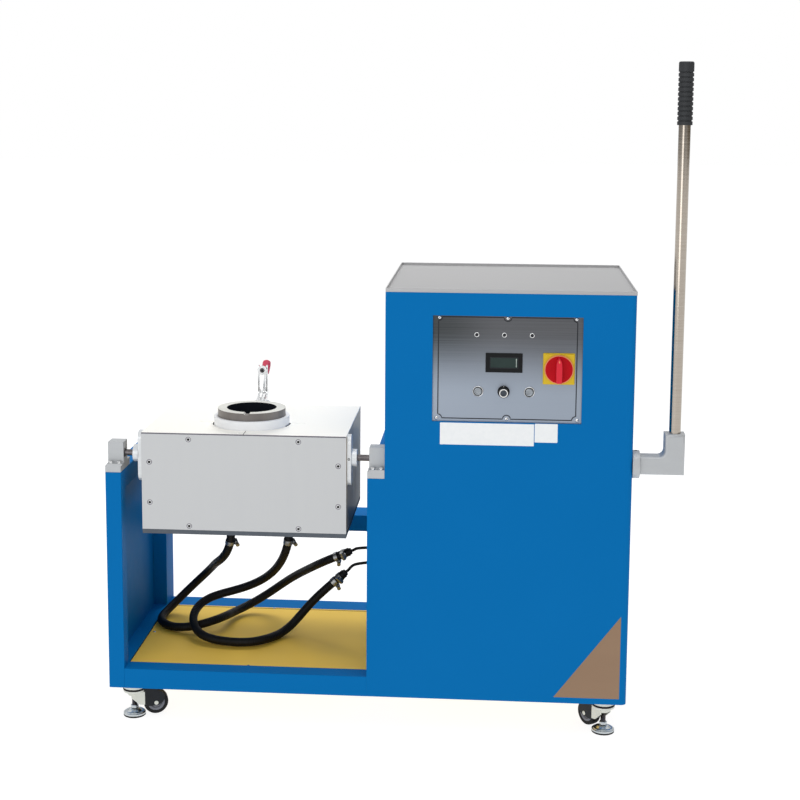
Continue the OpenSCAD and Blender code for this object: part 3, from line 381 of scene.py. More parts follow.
class Piece:
    """A piece made of closed shapes, each with a finish, in millimetres from the frame's corner."""

    def __init__(self, name):
        self.name, self.bm, self.finishes = name, bmesh.new(), []

    def join(self, shape, finish, to=None):
        """Takes a shape in, with its doubles merged and its faces outwards."""
        if finish not in self.finishes:
            self.finishes.append(finish)
        bmesh.ops.remove_doubles(shape, verts=shape.verts, dist=1e-3)
        bmesh.ops.recalc_face_normals(shape, faces=shape.faces)
        for face in shape.faces:
            face.material_index = self.finishes.index(finish)
        if to is not None:
            bmesh.ops.transform(shape, matrix=to, verts=shape.verts)
        spare = bpy.data.meshes.new("spare")
        shape.to_mesh(spare)
        shape.free()
        self.bm.from_mesh(spare)
        bpy.data.meshes.remove(spare)

    def ring(self, rows, finish):
        """A closed ring through rows of four points."""
        shape = bmesh.new()
        walled(shape, rows, closed=True)
        self.join(shape, finish)

    def slab(self, outline, axis, low, high, finish, edge=0.4, to=None, which=None):
        """A plate with that outline in the plane square to an axis, its edges eased, or those
        that pass a test."""
        shape = bmesh.new()
        walled(shape, [[laid[axis](u, v, w) for u, v in outline] for w in (low, high)])
        bmesh.ops.recalc_face_normals(shape, faces=shape.faces)
        if edge:
            sharp = [e for e in shape.edges if e.calc_face_angle(0) > math.radians(30)
                     and (which is None or which(e))]
            bmesh.ops.bevel(shape, geom=sharp, offset=edge, segments=2, profile=0.5,
                            affect="EDGES", clamp_overlap=True)
        self.join(shape, finish, to)

    def block(self, low, high, finish, edge=0.5, to=None):
        (a, b, c), (d, e, f) = low, high
        self.slab([(a, b), (d, b), (d, e), (a, e)], "z", c, f, finish, edge, to)

    def turned(self, profile, finish, centre=(0, 0, 0), axis="z", sides=48, to=None):
        """A lathe shape: radius and height of each corner, round an axis through its centre.
        It starts and ends on the axis, or is a ring."""
        shape, turns = bmesh.new(), [2 * math.pi * k / sides for k in range(sides)]
        walled(shape, [[Vector(centre) + Vector(laid[axis](r * math.cos(a), r * math.sin(a), h))
                        for a in (turns if r > 1e-6 else [0])] for r, h in profile],
               closed=profile[0][0] > 1e-6)
        self.join(shape, finish, to)

    def run(self, line, radius, finish, sides=16):
        """A round bar along a line."""
        shape = bmesh.new()
        walled(shape, rings_along([Vector(p) for p in line], radius, sides))
        self.join(shape, finish)

    def done(self, body, *nodes, slot=None, sharp=38):
        """Puts the piece in the row frame, on its body, in place of those CAD nodes."""
        bmesh.ops.transform(self.bm, verts=self.bm.verts,
                            matrix=Matrix.Translation(corner_point) @ Matrix.Scale(0.001, 4))
        settled(shaped(self.name, self.bm, self.finishes, sharp), body, nodes)


def settled(piece, body, nodes=()):
    """The piece rides on its body, in place of those CAD nodes."""
    shading = piece.modifiers.new("shading", "WEIGHTED_NORMAL")
    shading.keep_sharp = True
    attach(piece, body)
    if nodes:
        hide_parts(*nodes)


def eased_node(node, finish, body, edge=0.8, steps=2, also=(), keep=None):
    """The CAD node's own shape, with its edges broken as a file or a brake press leaves them.
    Faces that pass a test take another finish. With keep, only the corners that pass stay."""
    shape = bmesh.new()
    shape.from_mesh(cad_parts[node].data)
    if keep:
        spare = [v for v in shape.verts if not keep((v.co - corner_point) * 1000)]
        bmesh.ops.delete(shape, geom=spare, context="VERTS")
    bmesh.ops.remove_doubles(shape, verts=shape.verts, dist=2e-6)
    bmesh.ops.dissolve_limit(shape, angle_limit=math.radians(1), verts=shape.verts,
                             edges=shape.edges)
    sharp = [e for e in shape.edges if e.is_manifold and e.calc_face_angle(0) > math.radians(28)]
    bmesh.ops.bevel(shape, geom=sharp, offset=edge / 1000, segments=steps, profile=0.5,
                    affect="EDGES", clamp_overlap=True)
    piece = shaped(node + "_eased", shape, (finish, *[other for other, _ in also]))
    for index, (_, here) in enumerate(also, 1):
        for face in piece.data.polygons:
            if here((face.center - corner_point) * 1000, face.normal):
                face.material_index = index
    settled(piece, body, (node,))


paint = Finish("blue_powder_coat", (2.5,), (4, 107, 174), (8, 112, 181), (0.1, 0.45, 30),
               (0.00006, 1400, 2), Specular_IOR_Level=0.03)
for node, edge in (("base_rails", 1.2), ("bay_frame", 1.2), ("cabinet_frame", 1.2),
                   ("left_side_panel", 0.3)):
    eased_node(node, paint, "frame", edge)

# ---- Floor trays
# Gold-coloured sheet, 2 mm thick, in the open bay and in the cabinet. They lie on the ledges of
# the base, with small screws; the dark gap round them is a strip of painted shade.
gilt = Finish("gold_sheet", (3, 4, (1, 220, 1)), (255, 208, 82), (255, 213, 88), (0.12, 0.5),
              (0.00003,), Metallic=0.12)
eased_node("floor_trays", gilt, "frame", 0.4)
# A near-black finish of painted shade, laid in gaps and slits where shade falls.
gap_shade = Finish("dark_gap", (80,), (8, 8, 9), (24, 22, 20), Roughness=0.9, Specular_IOR_Level=0.1)
gap = Piece("tray_gap_shadow")
gap.block((35.2, 46, 120.2), (36.6, 445.5, 122.25), gap_shade, 0.15)
gap.block((36, 446.5, 120.2), (579, 448.5, 122.4), gap_shade, 0.15)
gap.done("frame")

# ---- Cabinet sheets
# Folded steel sheets, 2 mm thick, in the same blue. The front one carries an upright strip beside
# the bay, wraps round the right edge with a 12 mm bend, and has a window for the control plate.
for node in ("front_panel", "cabinet_left_panel", "cabinet_right_panel", "cabinet_rear_panel"):
    eased_node(node, paint, "frame", 0.45)
tray_steel = Finish("tray_steel", (4, 4, (1, 160, 1)), (172, 172, 173), (178, 178, 179),
                    (0.12, 0.36), (0.00002,), Metallic=0.35)
eased_node("top_tray", tray_steel, "frame", 0.5)

# ---- Screws and bolts of the frame
# Bright domed screws with a hexagon socket hold the control plate, the trays and the side sheets,
# and hexagon bolts with washers hold the bearing blocks down on their spacers.


def tree_of(name, inputs):
    """An empty Geometry Nodes tree with named inputs, for one thing on each of many spots."""
    tree = bpy.data.node_groups.new(name, "GeometryNodeTree")
    tree.interface.new_socket("Result", in_out="OUTPUT", socket_type="NodeSocketGeometry")
    inputs = {"Spots": "Geometry", "Turn": "Float", "Finish": "Material", **inputs}
    for label, kind in inputs.items():
        tree.interface.new_socket(label, in_out="INPUT", socket_type="NodeSocket" + kind)
    nodes = Nodes(tree)
    return nodes, dict(zip(inputs, nodes.add("NodeGroupInput", out=range(len(inputs)))))


def stood(nodes, wire, thing):
    """Ends a tree: the thing stands on each spot, faces its way, and takes the finish."""
    way = nodes.add("GeometryNodeInputNamedAttribute", {"data_type": "FLOAT_VECTOR"},
                    {"Name": "facing"})
    aim = nodes.add("FunctionNodeAlignRotationToVector", {"axis": "Z"}, {"Vector": way})
    spin = nodes.add("FunctionNodeAxisAngleToRotation", None,
                     {"Axis": (0, 0, 1), "Angle": wire["Turn"]})
    aim = nodes.add("FunctionNodeRotateRotation", {"rotation_space": "LOCAL"},
                    {"Rotation": aim, "Rotate By": spin})
    points = nodes.add("GeometryNodeMeshToPoints", None, {"Mesh": wire["Spots"]})
    stands = nodes.add("GeometryNodeInstanceOnPoints", None,
                       {"Points": points, "Instance": thing, "Rotation": aim})
    real = nodes.add("GeometryNodeRealizeInstances", None, {"Geometry": stands})
    last = nodes.add("GeometryNodeSetMaterial", None,
                     {"Geometry": real, "Material": wire["Finish"]})
    nodes.add("NodeGroupOutput", None, {0: last}, ())


def grown(name, nodes, spots, finish, values, body, replaced=(), slot=None):
    """Runs a tree on points, each with the way it faces, into one plain mesh on a body."""
    start = bpy.data.meshes.new(name + "_spots")
    start.from_pydata([shop(*p) for p, _ in spots], [], [])
    facing = start.attributes.new("facing", "FLOAT_VECTOR", "POINT")
    facing.data.foreach_set("vector", [c for _, way in spots for c in way])
    holder = bpy.data.objects.new(name + "_start", start)
    scene.collection.objects.link(holder)
    grow = holder.modifiers.new("grow", "NODES")
    grow.node_group = nodes.tree
    sockets = {s.name: s.identifier for s in nodes.tree.interface.items_tree if s.in_out == "INPUT"}
    for label, value in {**values, "Finish": finish.material}.items():
        grow[sockets[label]] = value
    view = holder.evaluated_get(bpy.context.evaluated_depsgraph_get())
    mesh = bpy.data.meshes.new_from_object(view)
    mesh.name = name
    bpy.data.objects.remove(holder)
    settled(placed(name, mesh, 38), body, replaced)


# Turned heads: a cross-section is swept round a tiny circle, and its seam closed
heads, wire = tree_of("turned_heads", {"Section": "Object", "Sides": "Int"})
section = heads.add("GeometryNodeObjectInfo", None, {"Object": wire["Section"]}, 4)
tiny = heads.add("GeometryNodeCurvePrimitiveCircle", None,
                 {"Resolution": wire["Sides"], "Radius": 1e-7})
swept = heads.add("GeometryNodeCurveToMesh", None, {0: tiny, 1: section})
stood(heads, wire, heads.add("GeometryNodeMergeByDistance", None,
                             {"Geometry": swept, "Distance": 2e-6}))


def set_heads(name, spots, corners, finish, body, sides=24, turn=0.0, **keep):
    """Puts one turned head on each spot. Its section is the radius and height of each corner."""
    data = bpy.data.curves.new(name + "_section", "CURVE")
    data.dimensions = "3D"
    spline = data.splines.new("POLY")
    spline.points.add(len(corners) - 1)
    for point, (r, h) in zip(spline.points, reversed(corners)):
        point.co = (-r / 1000, -h / 1000, 0, 1)
    section = bpy.data.objects.new(name + "_section", data)
    scene.collection.objects.link(section)
    grown(name, heads, spots, finish, {"Section": section, "Sides": sides, "Turn": turn}, body,
          **keep)
    bpy.data.objects.remove(section)


def dome(r, tall):
    """A domed head with a socket sunk in its middle."""
    cap = [(r * math.cos(a), tall * math.sin(a)) for a in (math.pi / 2 * k / 8 for k in range(8))]
    return [(0, -0.4), (r, -0.4), *[(x, y) for x, y in cap if x > r * 0.3], (r * 0.3, tall * 0.93),
            (r * 0.28, tall * 0.6), (0, tall * 0.6)]


def hexagon_pit(r, tall):
    """Painted shade in the socket: a dark disc at its floor."""
    low, high = tall * 0.6 - 0.05, tall * 0.6 + 0.06
    return [(0, low), (r * 0.25, low), (r * 0.25, high), (0, high)]


chrome = Finish("bright_steel", (220, 3), (205, 207, 208), (236, 237, 238), (0.12, 0.12),
                (0.00001,), Metallic=1.0)
socket_black = Finish("socket_shadow", (900,), (10, 10, 10), (32, 32, 33), Roughness=0.85,
                      Specular_IOR_Level=0.1)
front, back, left, right, up = (0, -1, 0), (0, 1, 0), (-1, 0, 0), (1, 0, 0), (0, 0, 1)
head_x = 307.5
plate_x = 880
side_heights = [140, 533, 926]
plate_spots = [((plate_x + k * dx, 6, z), front) for k in (-1, 0, 1)
               for dx, z in ((146, 932.5), (151, 713))]
tray_spots = [((47, 252.5, 122), up), ((head_x, 450, 122), up), ((head_x, 51, 122), up)]
side_spots = [((1152, y, z), right) for z in side_heights for y in (36, 502) if z != 533 or y > 99]
side_spots += [((x, 526, z), back) for z in side_heights for x in (648, 1122)]
for name, spots, r, tall, nodes in (("plate_screw", plate_spots, 4.0, 2.4, ["frame_fasteners"]),
                                    ("tray_screw", tray_spots, 3.5, 2.1, ()),
                                    ("side_screw", side_spots, 4.0, 2.4, ())):
    set_heads(name + "s", spots, dome(r, tall), chrome, "frame", slot="polished_steel",
              replaced=nodes)
    set_heads(name + "_sockets", spots, hexagon_pit(r, tall), socket_black, "frame", 6)
bolt_spots = [((post + 20.5 + dx, y, 595), up) for post in (0, 580) for dx in (-9, 9)
              for y in (8, 64)]
set_heads("block_bolt_washers", bolt_spots,
          [(0, -0.3), (5.5, -0.3), (5.6, 0), (5.6, 1.2), (5.3, 1.5), (0, 1.5)], chrome, "frame")
set_heads("block_bolt_heads", bolt_spots,
          [(0, 1.4), (4.1, 1.4), (4.5, 1.8), (4.5, 3.9), (3.9, 4.6), (0, 4.65)], chrome, "frame", 6,
          0.4)

# ---- Control plate
# A brushed steel plate behind the cabinet's window, with a printed dark line round it that
# steps round the six screws.
plate_steel = Finish("brushed_plate", Metallic=0.85)
grain = plate_steel.noise(2.2, 5, (1, 1, 260))
side, _, rise = plate_steel.apart(plate_steel.place())
# Painted reflection and shade: dark along the top, darkest at the left, bluish grey lower down.
upper = plate_steel.mix(side.held(0.10, 0.24), tint(30, 33, 33), tint(74, 74, 77))
base = plate_steel.mix(rise.held(0.91, 0.76), upper, tint(148, 158, 172))
plate_steel.give(Base_Color=plate_steel.mix(grain * 0.2, base, tint(176, 182, 188)),
                 Roughness=grain * 0.2 + 0.26)
plate_steel.bump(grain, 0.00004)
eased_node("control_plate", plate_steel, "frame", 0.25)
print_black = Finish("printed_line", (200,), (22, 24, 30), (40, 42, 48), Roughness=0.6,
                     Specular_IOR_Level=0.3)


def arc(x, z, r, start, end, steps=8):
    """Points of an arc, in degrees."""
    turns = [math.radians(start + (end - start) * k / steps) for k in range(steps + 1)]
    return [(x + r * math.cos(a), z + r * math.sin(a)) for a in turns]


border = Piece("plate_border_line")
low, high, half_wide = 713, 934, 1.15
line = [p for dx, z, start, end in (
    (-148, low, 90, 0), (0, low, 180, 0), (148, low, 180, 90), (148, high, 270, 180),
    (0, high, 360, 180), (-148, high, 0, -90)) for p in arc(plate_x + dx, z, 8.5, start, end)]
rows = []
for before, (x, z), after in zip(line[-1:] + line, line, line[1:] + line[:1]):
    way = (Vector(after) - Vector(before)).normalized() * half_wide
    rows.append([(x - s * way.y, y, z + s * way.x)
                 for s, y in ((1, 6.05), (1, 5.93), (-1, 5.93), (-1, 6.05))])
border.ring(rows, print_black)
border.done("frame")

# ---- Isolator switch
# A yellow plastic plate with a raised edge. On it turns a red disc with a pale rim and a pointed
# handle that stands upright when the supply is on.
ix, iz = 990, 825
switch = (ix, 0, iz)
yellow = Finish("yellow_plastic", (40,), (208, 176, 34), (222, 192, 50), (0.1, 0.35, 300),
                (0.00003, 1500), Specular_IOR_Level=0.2)
red = Finish("red_plastic", (40,), (176, 0, 16), (192, 0, 24), (0.1, 0.34, 300),
             (0.00003, 1500), Specular_IOR_Level=0.12)
bright_red = Finish("red_grip", (40,), (208, 22, 44), (226, 36, 58), (0.1, 0.36, 300),
                    Specular_IOR_Level=0.3)
pale_rim = Finish("pale_rim", (60,), (226, 132, 92), (240, 160, 110), (0.1, 0.4, 200),
                  Specular_IOR_Level=0.3)


def rounded(cx, cz, wide, tall, r):
    """The outline of a rectangle with rounded corners."""
    x, z = wide / 2 - r, tall / 2 - r
    return [p for sx, sz, a in ((1, 1, 0), (-1, 1, 90), (-1, -1, 180), (1, -1, 270))
            for p in arc(cx + sx * x, cz + sz * z, r, a, a + 90, 5)]


plate = Piece("isolator_plate_moulding")
plate.slab(rounded(ix, iz, 68, 68, 2.5), "y", 3.4, 6, yellow, 0.6)
plate.slab(rounded(ix, iz, 65.2, 65.2, 2), "y", 0, 3.6, yellow, 1.2)
plate.turned([(4.2, 24), (6.8, 24), (6.8, 6), (4.2, 6)], yellow, switch, "y")
plate.turned([(4.1, -0.28), (28, -0.28), (28.4, 0.1), (28.4, 0.4), (4.1, 0.4)], pale_rim, switch,
             "y", 96)
plate.block((ix - 26, 8, iz - 26), (ix + 26, 53, iz + 26), yellow, 1)
plate.done("frame", "isolator_plate", slot="yellow_plastic")

handle = Piece("isolator_knob")
handle.turned([(0, -7.2), (27.9, -7.2), (28.8, -6.4), (29, -5.8), (29, -1.2), (28.4, -0.4),
               (0, -0.4)], red, switch, "y", 96)
handle.turned([(28.8, -6.2), (29.4, -6.9), (30.5, -6.7), (31, -5.8), (31, -1), (30.4, -0.4),
               (28.8, -0.4)], pale_rim, switch, "y", 96)
grip = [(-6, -27), (6, -27), (6.6, -8), (6.4, 10), (5, 20), (0, 28), (-5, 20), (-6.4, 10),
        (-6.6, -8)]
handle.slab([(ix + x, iz + z) for x, z in grip], "y", -26.9, -7, bright_red, 1.8)
handle.slab([(ix + x, iz + z) for x, z in ((-1.4, 17.5), (1.4, 17.5), (0, 24))], "y", -27, -26.7,
            pale_rim, 0.1)
handle.turned([(0, 17.6), (4, 17.6), (4, -1), (0, -1)], red, switch, "y", 32)
handle.done("isolator_handle", "isolator_handle", slot="red_plastic")

# ---- Panel meter
# A black snap-in bezel round a dark greenish window, set back behind a bevel.
black = Finish("black_plastic", (50,), (0, 2, 5), (8, 11, 14), (0.15, 0.35, 400),
               (0.00004, 1800), Specular_IOR_Level=0.2)
glass = Finish("meter_window", (30,), (24, 42, 40), (42, 60, 57), Specular_IOR_Level=0.25)
_, _, rise = glass.apart(glass.place())
glass.give(Roughness=rise.held(0.815, 0.86) * 0.1 + 0.18)
edge_highlight = Finish("window_edge", (90,), (170, 184, 178), (205, 214, 208), Roughness=0.25)
mx, mz = 873, 836
meter = Piece("panel_meter")
bezel = [(38.5, 20, 6), (39.5, 21, 5.6), (39.5, 21, 4.1), (38.8, 20.3, 3.5), (32, 13.6, 3.5),
         (29.6, 11.4, 4.8), (29.6, 11.4, 6)]
lip = [(31.2, 13, 4.9), (30.4, 12.2, 3.9), (29.4, 11.2, 3.95), (29.0, 10.8, 4.9)]
for steps, finish in ((bezel, black), (lip, print_black)):
    meter.ring([[(mx + sx * wide, y, mz + sz * tall) for sx, sz in (
        (1, 1), (-1, 1), (-1, -1), (1, -1))] for wide, tall, y in steps], finish)
meter.block((mx - 31, 4.75, mz - 12.6), (mx + 31, 5.6, mz + 12.6), glass, 0.15)
# Painted highlight: a pale strip near the window's right edge.
meter.block((mx + 25.6, 4.5, mz - 9.4), (mx + 26.8, 4.8, mz + 9.4), edge_highlight, 0.1)
meter.block((mx - 36, 6, mz - 17.7), (mx + 36, 56, mz + 17.7), black, 1)
meter.done("frame", "power_meter", slot="black_plastic")

# ---- Push buttons and signal lamps
# Two stainless steel push buttons for 22 mm holes, each a domed ring round a flat cap, and three
# small signal lamps with a bright bezel and a dark lens.
row_z = 773
buttons = (("start_button", (mx - 55, 0, row_z)), ("stop_button", (mx + 55, 0, row_z)))
cap_steel = Finish("button_cap", (30, 4, (1, 1, 14)), (116, 122, 128), (168, 174, 180),
                   (0.2, 0.25), (0.00003,), Metallic=0.9)
bezels = Piece("button_and_lamp_rings")
for _, spot in buttons:
    bezels.turned([(9, 27), (10.5, 27), (10.5, 6), (12, 6), (12, 5), (11.7, 4), (11.1, 3.4),
                   (10.2, 3.5), (9.5, 4.6), (9, 6)], chrome, spot, "y", 64)
    bezels.turned([(0, 36), (10.4, 36), (10.4, 26.9), (0, 26.9)], black, spot, "y", 32)
for lamp in ((mx + k * 59, 0, 896) for k in (-1, 0, 1)):
    bezels.turned([(4.3, 24), (4.3, 6), (5.5, 6), (5.5, 5.2), (5.1, 4.5), (4.4, 4.2), (3.6, 4.4),
                   (3.2, 5.1), (3.2, 24)], chrome, lamp, "y")
    bezels.turned([(0, 24), (3.3, 24), (3.3, 4.6), (2.9, 3.7), (2, 3.15), (1, 3), (0, 3)],
                  print_black, lamp, "y", 32)
bezels.done("frame", "button_and_lamp_bezels", slot="polished_steel", sharp=50)
for name, spot in buttons:
    cap = Piece(name + "_cap")
    cap.turned([(0, 16.5), (8.3, 16.5), (8.4, 3), (8.2, 2.1), (7.4, 1.55), (6.4, 1.6), (6, 2.1),
                (5.2, 2.3), (0, 2.3)], cap_steel, spot, "y", 64)
    cap.done(name, name, slot="polished_steel")

# ---- Power knob
# A black fluted knob with a dark metal cap in a white ring, and a white pointer line.
dial = (mx, 0, row_z)
flutes, wire = tree_of("knob_flutes", {"Count": "Int", "Radius": "Float", "Bead": "Float",
                                       "Length": "Float"})
ring = flutes.add("GeometryNodeMeshCircle", None,
                  {"Vertices": wire["Count"], "Radius": wire["Radius"]})
bead = flutes.add("GeometryNodeMeshCylinder", None,
                  {"Vertices": 10, "Radius": wire["Bead"], "Depth": wire["Length"]})
stood(flutes, wire, flutes.add("GeometryNodeInstanceOnPoints", None,
                               {"Points": ring, "Instance": bead}))
grown("power_knob_flutes", flutes, [((mx, -5, row_z), front)], black,
      {"Count": 24, "Radius": 0.0101, "Bead": 0.0009, "Length": 0.015}, "power_knob",
      slot="black_plastic")
white_print = Finish("white_print", (200,), (225, 225, 222), (245, 245, 243), Roughness=0.5)
dark_cap = Finish("knob_cap", (160,), (44, 50, 56), (78, 84, 92), (0.15, 0.3, 300), Metallic=0.8)
knob = Piece("power_knob_body")
knob.turned([(0, 5.7), (12.6, 5.7), (13, 5.3), (13, 3.4), (12.4, 2.8), (10.3, 2.6), (10.3, -12.6),
             (9.9, -13.8), (9.4, -14.1), (0, -14.1)], black, dial, "y", 64)
knob.turned([(7.2, -13.6), (9.2, -13.6), (9.2, -14.2), (8.9, -14.5), (7.6, -14.5), (7.2, -14.2)],
            white_print, dial, "y")
knob.turned([(0, -13.6), (7.4, -13.6), (7.4, -13.9), (7, -14.1), (0, -14.2)], dark_cap, dial, "y")
knob.block((mx - 0.5, 2.5, 783.4), (mx + 0.5, 3.3, 785.6), white_print, 0.1)
knob.turned([(0, 19.7), (3, 19.7), (3, 5), (0, 5)], black, dial, "y", 24)
knob.done("power_knob", "power_knob", slot="black_plastic")

# ---- Blank labels
# Two plain white vinyl labels below the control plate, and a plain brown triangle of brushed
# film in the lower right corner. All are stuck flat on the paint.
vinyl = Finish("white_vinyl", (120,), (232, 236, 238), (244, 246, 247), (0.1, 0.35, 80),
               Coat_Weight=0.2)
film = Finish("brown_film", (3, 5, (1, 1, 3)), (136, 108, 84), (156, 128, 102), (0.2, 0.32),
              Metallic=0.3)
labels = Piece("blank_labels")
labels.slab(rounded(838.5, 680, 202, 48, 1.5), "y", -0.12, 0.05, vinyl, 0)
labels.slab(rounded(965.5, 685, 49, 41, 1.5), "y", -0.12, 0.05, vinyl, 0)
labels.slab([(993, 93.5), (1136, 93.5), (1136, 281)], "y", -0.1, 0.05, film, 0)
labels.done("frame", slot="blue_paint")

# ---- Inverter in the cabinet
# A grey module with cooling slots, a bank of film capacitors with brass terminals, and the output
# transformer's copper core, whose two studs come out beside the hoses.
grey_module = Finish("module_grey", (12,), (118, 126, 132), (134, 142, 148), (0.15, 0.4, 90),
                     (0.00004, 1200), Metallic=0.2)
can_blue = Finish("capacitor_blue", (20,), (52, 84, 114), (66, 98, 128), (0.1, 0.35, 70),
                  Coat_Weight=0.3)
copper = Finish("copper", (35, 5), (168, 96, 56), (214, 142, 98), (0.2, 0.26), (0.00003, 900),
                Metallic=1.0)
brass = Finish("brass", (50, 4), (172, 132, 60), (206, 168, 90), (0.15, 0.28), (0.00003, 900),
               Metallic=1.0)
eased_node("power_module", grey_module, "frame", 1)
eased_node("capacitor_bank", can_blue, "frame", 2, 3)
eased_node("output_transformer", copper, "frame", 1.2)
set_heads("capacitor_terminals", [((858 + i * 70, 277 + k * 78 + d, 468), up) for i in range(3)
                                  for k in (0, 1) for d in (-12, 12)],
          [(0, -0.5), (5, -0.5), (5, 3.5), (4.4, 4), (2.6, 4), (2.6, 8), (0, 8.4)], brass, "frame",
          6)

# ---- Connections on the rear
# Two brass barbs for the cooler's hoses, from a block behind the sheet, each with a flange, and a
# black cable gland with a clamping nut round an open rubber ring.
gland = (1032, 0, 190)
rubber = Finish("black_rubber", (70,), (12, 12, 13), (30, 30, 31), skin=(0.0001, 700),
                Roughness=0.75, Specular_IOR_Level=0.3)
rear = Piece("rear_connections")
rear.block((708, 494, 170), (838, 523.9, 210), brass, 2)
for barb in ((738, 0, 190), (808, 0, 190)):
    rear.turned([(0, 523.5), (8.3, 523.5), (8.3, 525.9), (12.4, 526.05), (13, 526.7), (13, 529.3),
                 (12.4, 530), (7, 530.2), (6.6, 533), (8, 534), (6.7, 540.5), (8, 541.5),
                 (6.7, 548), (8, 549), (6.4, 555.4), (5.8, 556), (4.2, 556), (4.2, 532), (0, 532)],
                brass, barb, "y", 40)
rear.turned([(9.1, 504.2), (19.2, 504.2), (20, 505), (20, 511), (19.2, 512), (13.9, 512.2),
             (13.9, 526.1), (19, 526.2), (19.2, 526.6), (19.2, 528), (17.4, 528.4), (17.4, 534.6),
             (18.6, 535), (20, 536), (20, 539), (17.6, 541.6), (15, 544), (11.2, 544),
             (10.6, 542.8), (10.6, 535), (9.1, 534)], black, gland, "y")
rear.done("frame", "water_manifold", slot="brass", sharp=45)
grown("gland_nut_grips", flutes, [((1032, 531.5, 190), back)], black,
      {"Count": 18, "Radius": 0.0176, "Bead": 0.0012, "Length": 0.0065}, "frame",
      slot="black_plastic")
seal = Piece("gland_seal")
seal.turned([(9.2, 534.5), (10.9, 534.5), (10.9, 542.2), (9.9, 542.9), (9.2, 542)], rubber, gland,
            "y", 40)
seal.done("frame", slot="black_rubber")

# ---- Bearing blocks
# Cast steel blocks with milled sides, each on a spacer on a front post and held by four bolts,
# and a round collar with a grub screw where the shaft leaves the cabinet.
cast = Finish("cast_steel", (14, 4, (1, 1, 5)), (178, 181, 184), (188, 191, 193), (0.18, 0.34),
              (0.00006, 500), Metallic=0.25)
eased_node("bearing_blocks", cast, "frame", 0.9, 3)
eased_node("outboard_bearing", cast, "frame", 1.6, 3)
set_heads("collar_grub_screw", [((1160, 30, 645.2), up)],
          [(0, -2), (3.6, -2), (3.6, 0.2), (3.1, 0.5), (1.6, 0.5), (1.6, -1.2), (0, -1.2)],
          socket_black, "frame", 20)

# ---- Tilt shaft and its bars
# On each side of the head a flat bar with round ends, a hub welded to it and a polished shaft
# pinned in the hub. The right shaft runs through the cabinet, where an arm on it meets a stop.
tilt_axis = (0, 30, 615)
silver = Finish("satin_steel", (9, 4, (1, 1, 18)), (206, 210, 214), (228, 231, 233), (0.15, 0.3),
                (0.00004,), Metallic=0.45)
dark_steel = Finish("turned_steel", (6, 3, (90, 1, 1)), (62, 58, 60), (118, 114, 116),
                    (0.12, 0.16), (0.00002,), Metallic=1.0)
bars = Piece("trunnion_bars")
for face, way in ((81, -1), (534, 1)):
    x = [face + way * t for t in (0, 10, 22)]
    bars.slab(arc(30, 648, 19, 0, 180, 14) + arc(30, 572, 19, 180, 360, 14), "x", min(x[:2]),
              max(x[:2]), silver, 1)
    bars.turned([(6.9, x[1] - way), (21.5, x[1] - way), (21.5, x[1]), (19.6, x[1] + way * 1.6),
                 (19, x[1] + way * 2.2), (19, x[2] - way), (18.2, x[2]), (6.9, x[2])], silver,
                tilt_axis, "x", 64)
bars.done("head", "trunnions", slot="polished_steel", sharp=45)
shaft = Piece("tilt_shaft")
shaft.turned([(0, 1), (6.2, 1), (7, 1.8), (7, 80), (0, 80)], dark_steel, tilt_axis, "x", 40)
shaft.turned([(0, 535), (7, 535), (7, 1245), (6.2, 1246), (0, 1246)], dark_steel, tilt_axis, "x",
             40)
shaft.turned([(6.9, 630), (15.2, 630), (16, 630.8), (16, 645.2), (15.2, 646), (6.9, 646)], cast,
             tilt_axis, "x")
shaft.block((630, 40, 605), (646, 110, 625), cast, 1.2)
shaft.done("head", slot="polished_steel")
bushes = Piece("shaft_bushes")
for x, way in ((38, 1), (583, -1), (618, 1)):
    bushes.turned([(7.1, x - 2 * way), (10.5, x - 2 * way), (10.5, x + 0.5 * way),
                   (9.9, x + 0.9 * way), (7.1, x + 0.9 * way)], dark_steel, tilt_axis, "x", 40)
bushes.done("frame", slot="polished_steel")
set_heads("bar_set_screw", [((539, 11.2, 615), front)],
          [(0, -2), (2.8, -2), (2.8, 0.1), (2.4, 0.4), (1.3, 0.4), (1.3, -1.2), (0, -1.2)],
          socket_black, "head", 20)

# ---- Lever
# An aluminium casting with broken edges turns the shaft. A chromed tube stands in its socket and
# carries a ribbed black rubber grip.
lever_axis = (1242, 30, 0)
elbow = Piece("lever_elbow_cast")
elbow.slab([(1168.5, 596), (1262.5, 596), (1262.5, 686), (1219.5, 686),
            *arc(1206.5, 649, 13, 0, -90, 10), (1168.5, 636)], "y", 8.5, 51.5, cast, 6.5,
           which=lambda e: e.verts[0].co.y == e.verts[1].co.y and max(
               v.co.x for v in e.verts) > 1169)
elbow.done("head", "lever_elbow", slot="cast_steel", sharp=60)
tube_chrome = Finish("tube_chrome", (5, 4, (1, 1, 60)), (160, 150, 138), (190, 182, 172),
                     (0.08, 0.08), (0.00002,), Metallic=1.0)
lever = Piece("lever_tube_chromed")
lever.turned([(0, 660), (12, 660), (12.5, 660.5), (12.5, 1470), (12, 1471), (0, 1471)],
             tube_chrome, lever_axis, sides=64)
lever.done("head", "lever_tube", slot="polished_steel")
grip_finish = Finish("grip_rubber", (50,), (26, 29, 32), (38, 41, 45), skin=(0.0001, 900),
                     Roughness=0.6)
ribs = [(r, 1351 + 10 * k + h) for k in range(11) for r, h in (
    (16, -0.6), (15.6, 0), (14.1, 0.5), (14.1, 2.6), (15.6, 3.1), (16, 3.6))]
grip_rubber = Piece("ribbed_grip")
grip_rubber.turned([(0, 1472), (12.6, 1472), (12.6, 1343.4), (15.4, 1343.4), (16, 1344), *ribs,
                    (16, 1471), (15.6, 1473), (14.6, 1474.4), (13, 1475), (0, 1475)],
                   grip_finish, lever_axis, sides=64)
grip_rubber.done("head", "lever_grip", slot="black_rubber", sharp=60)
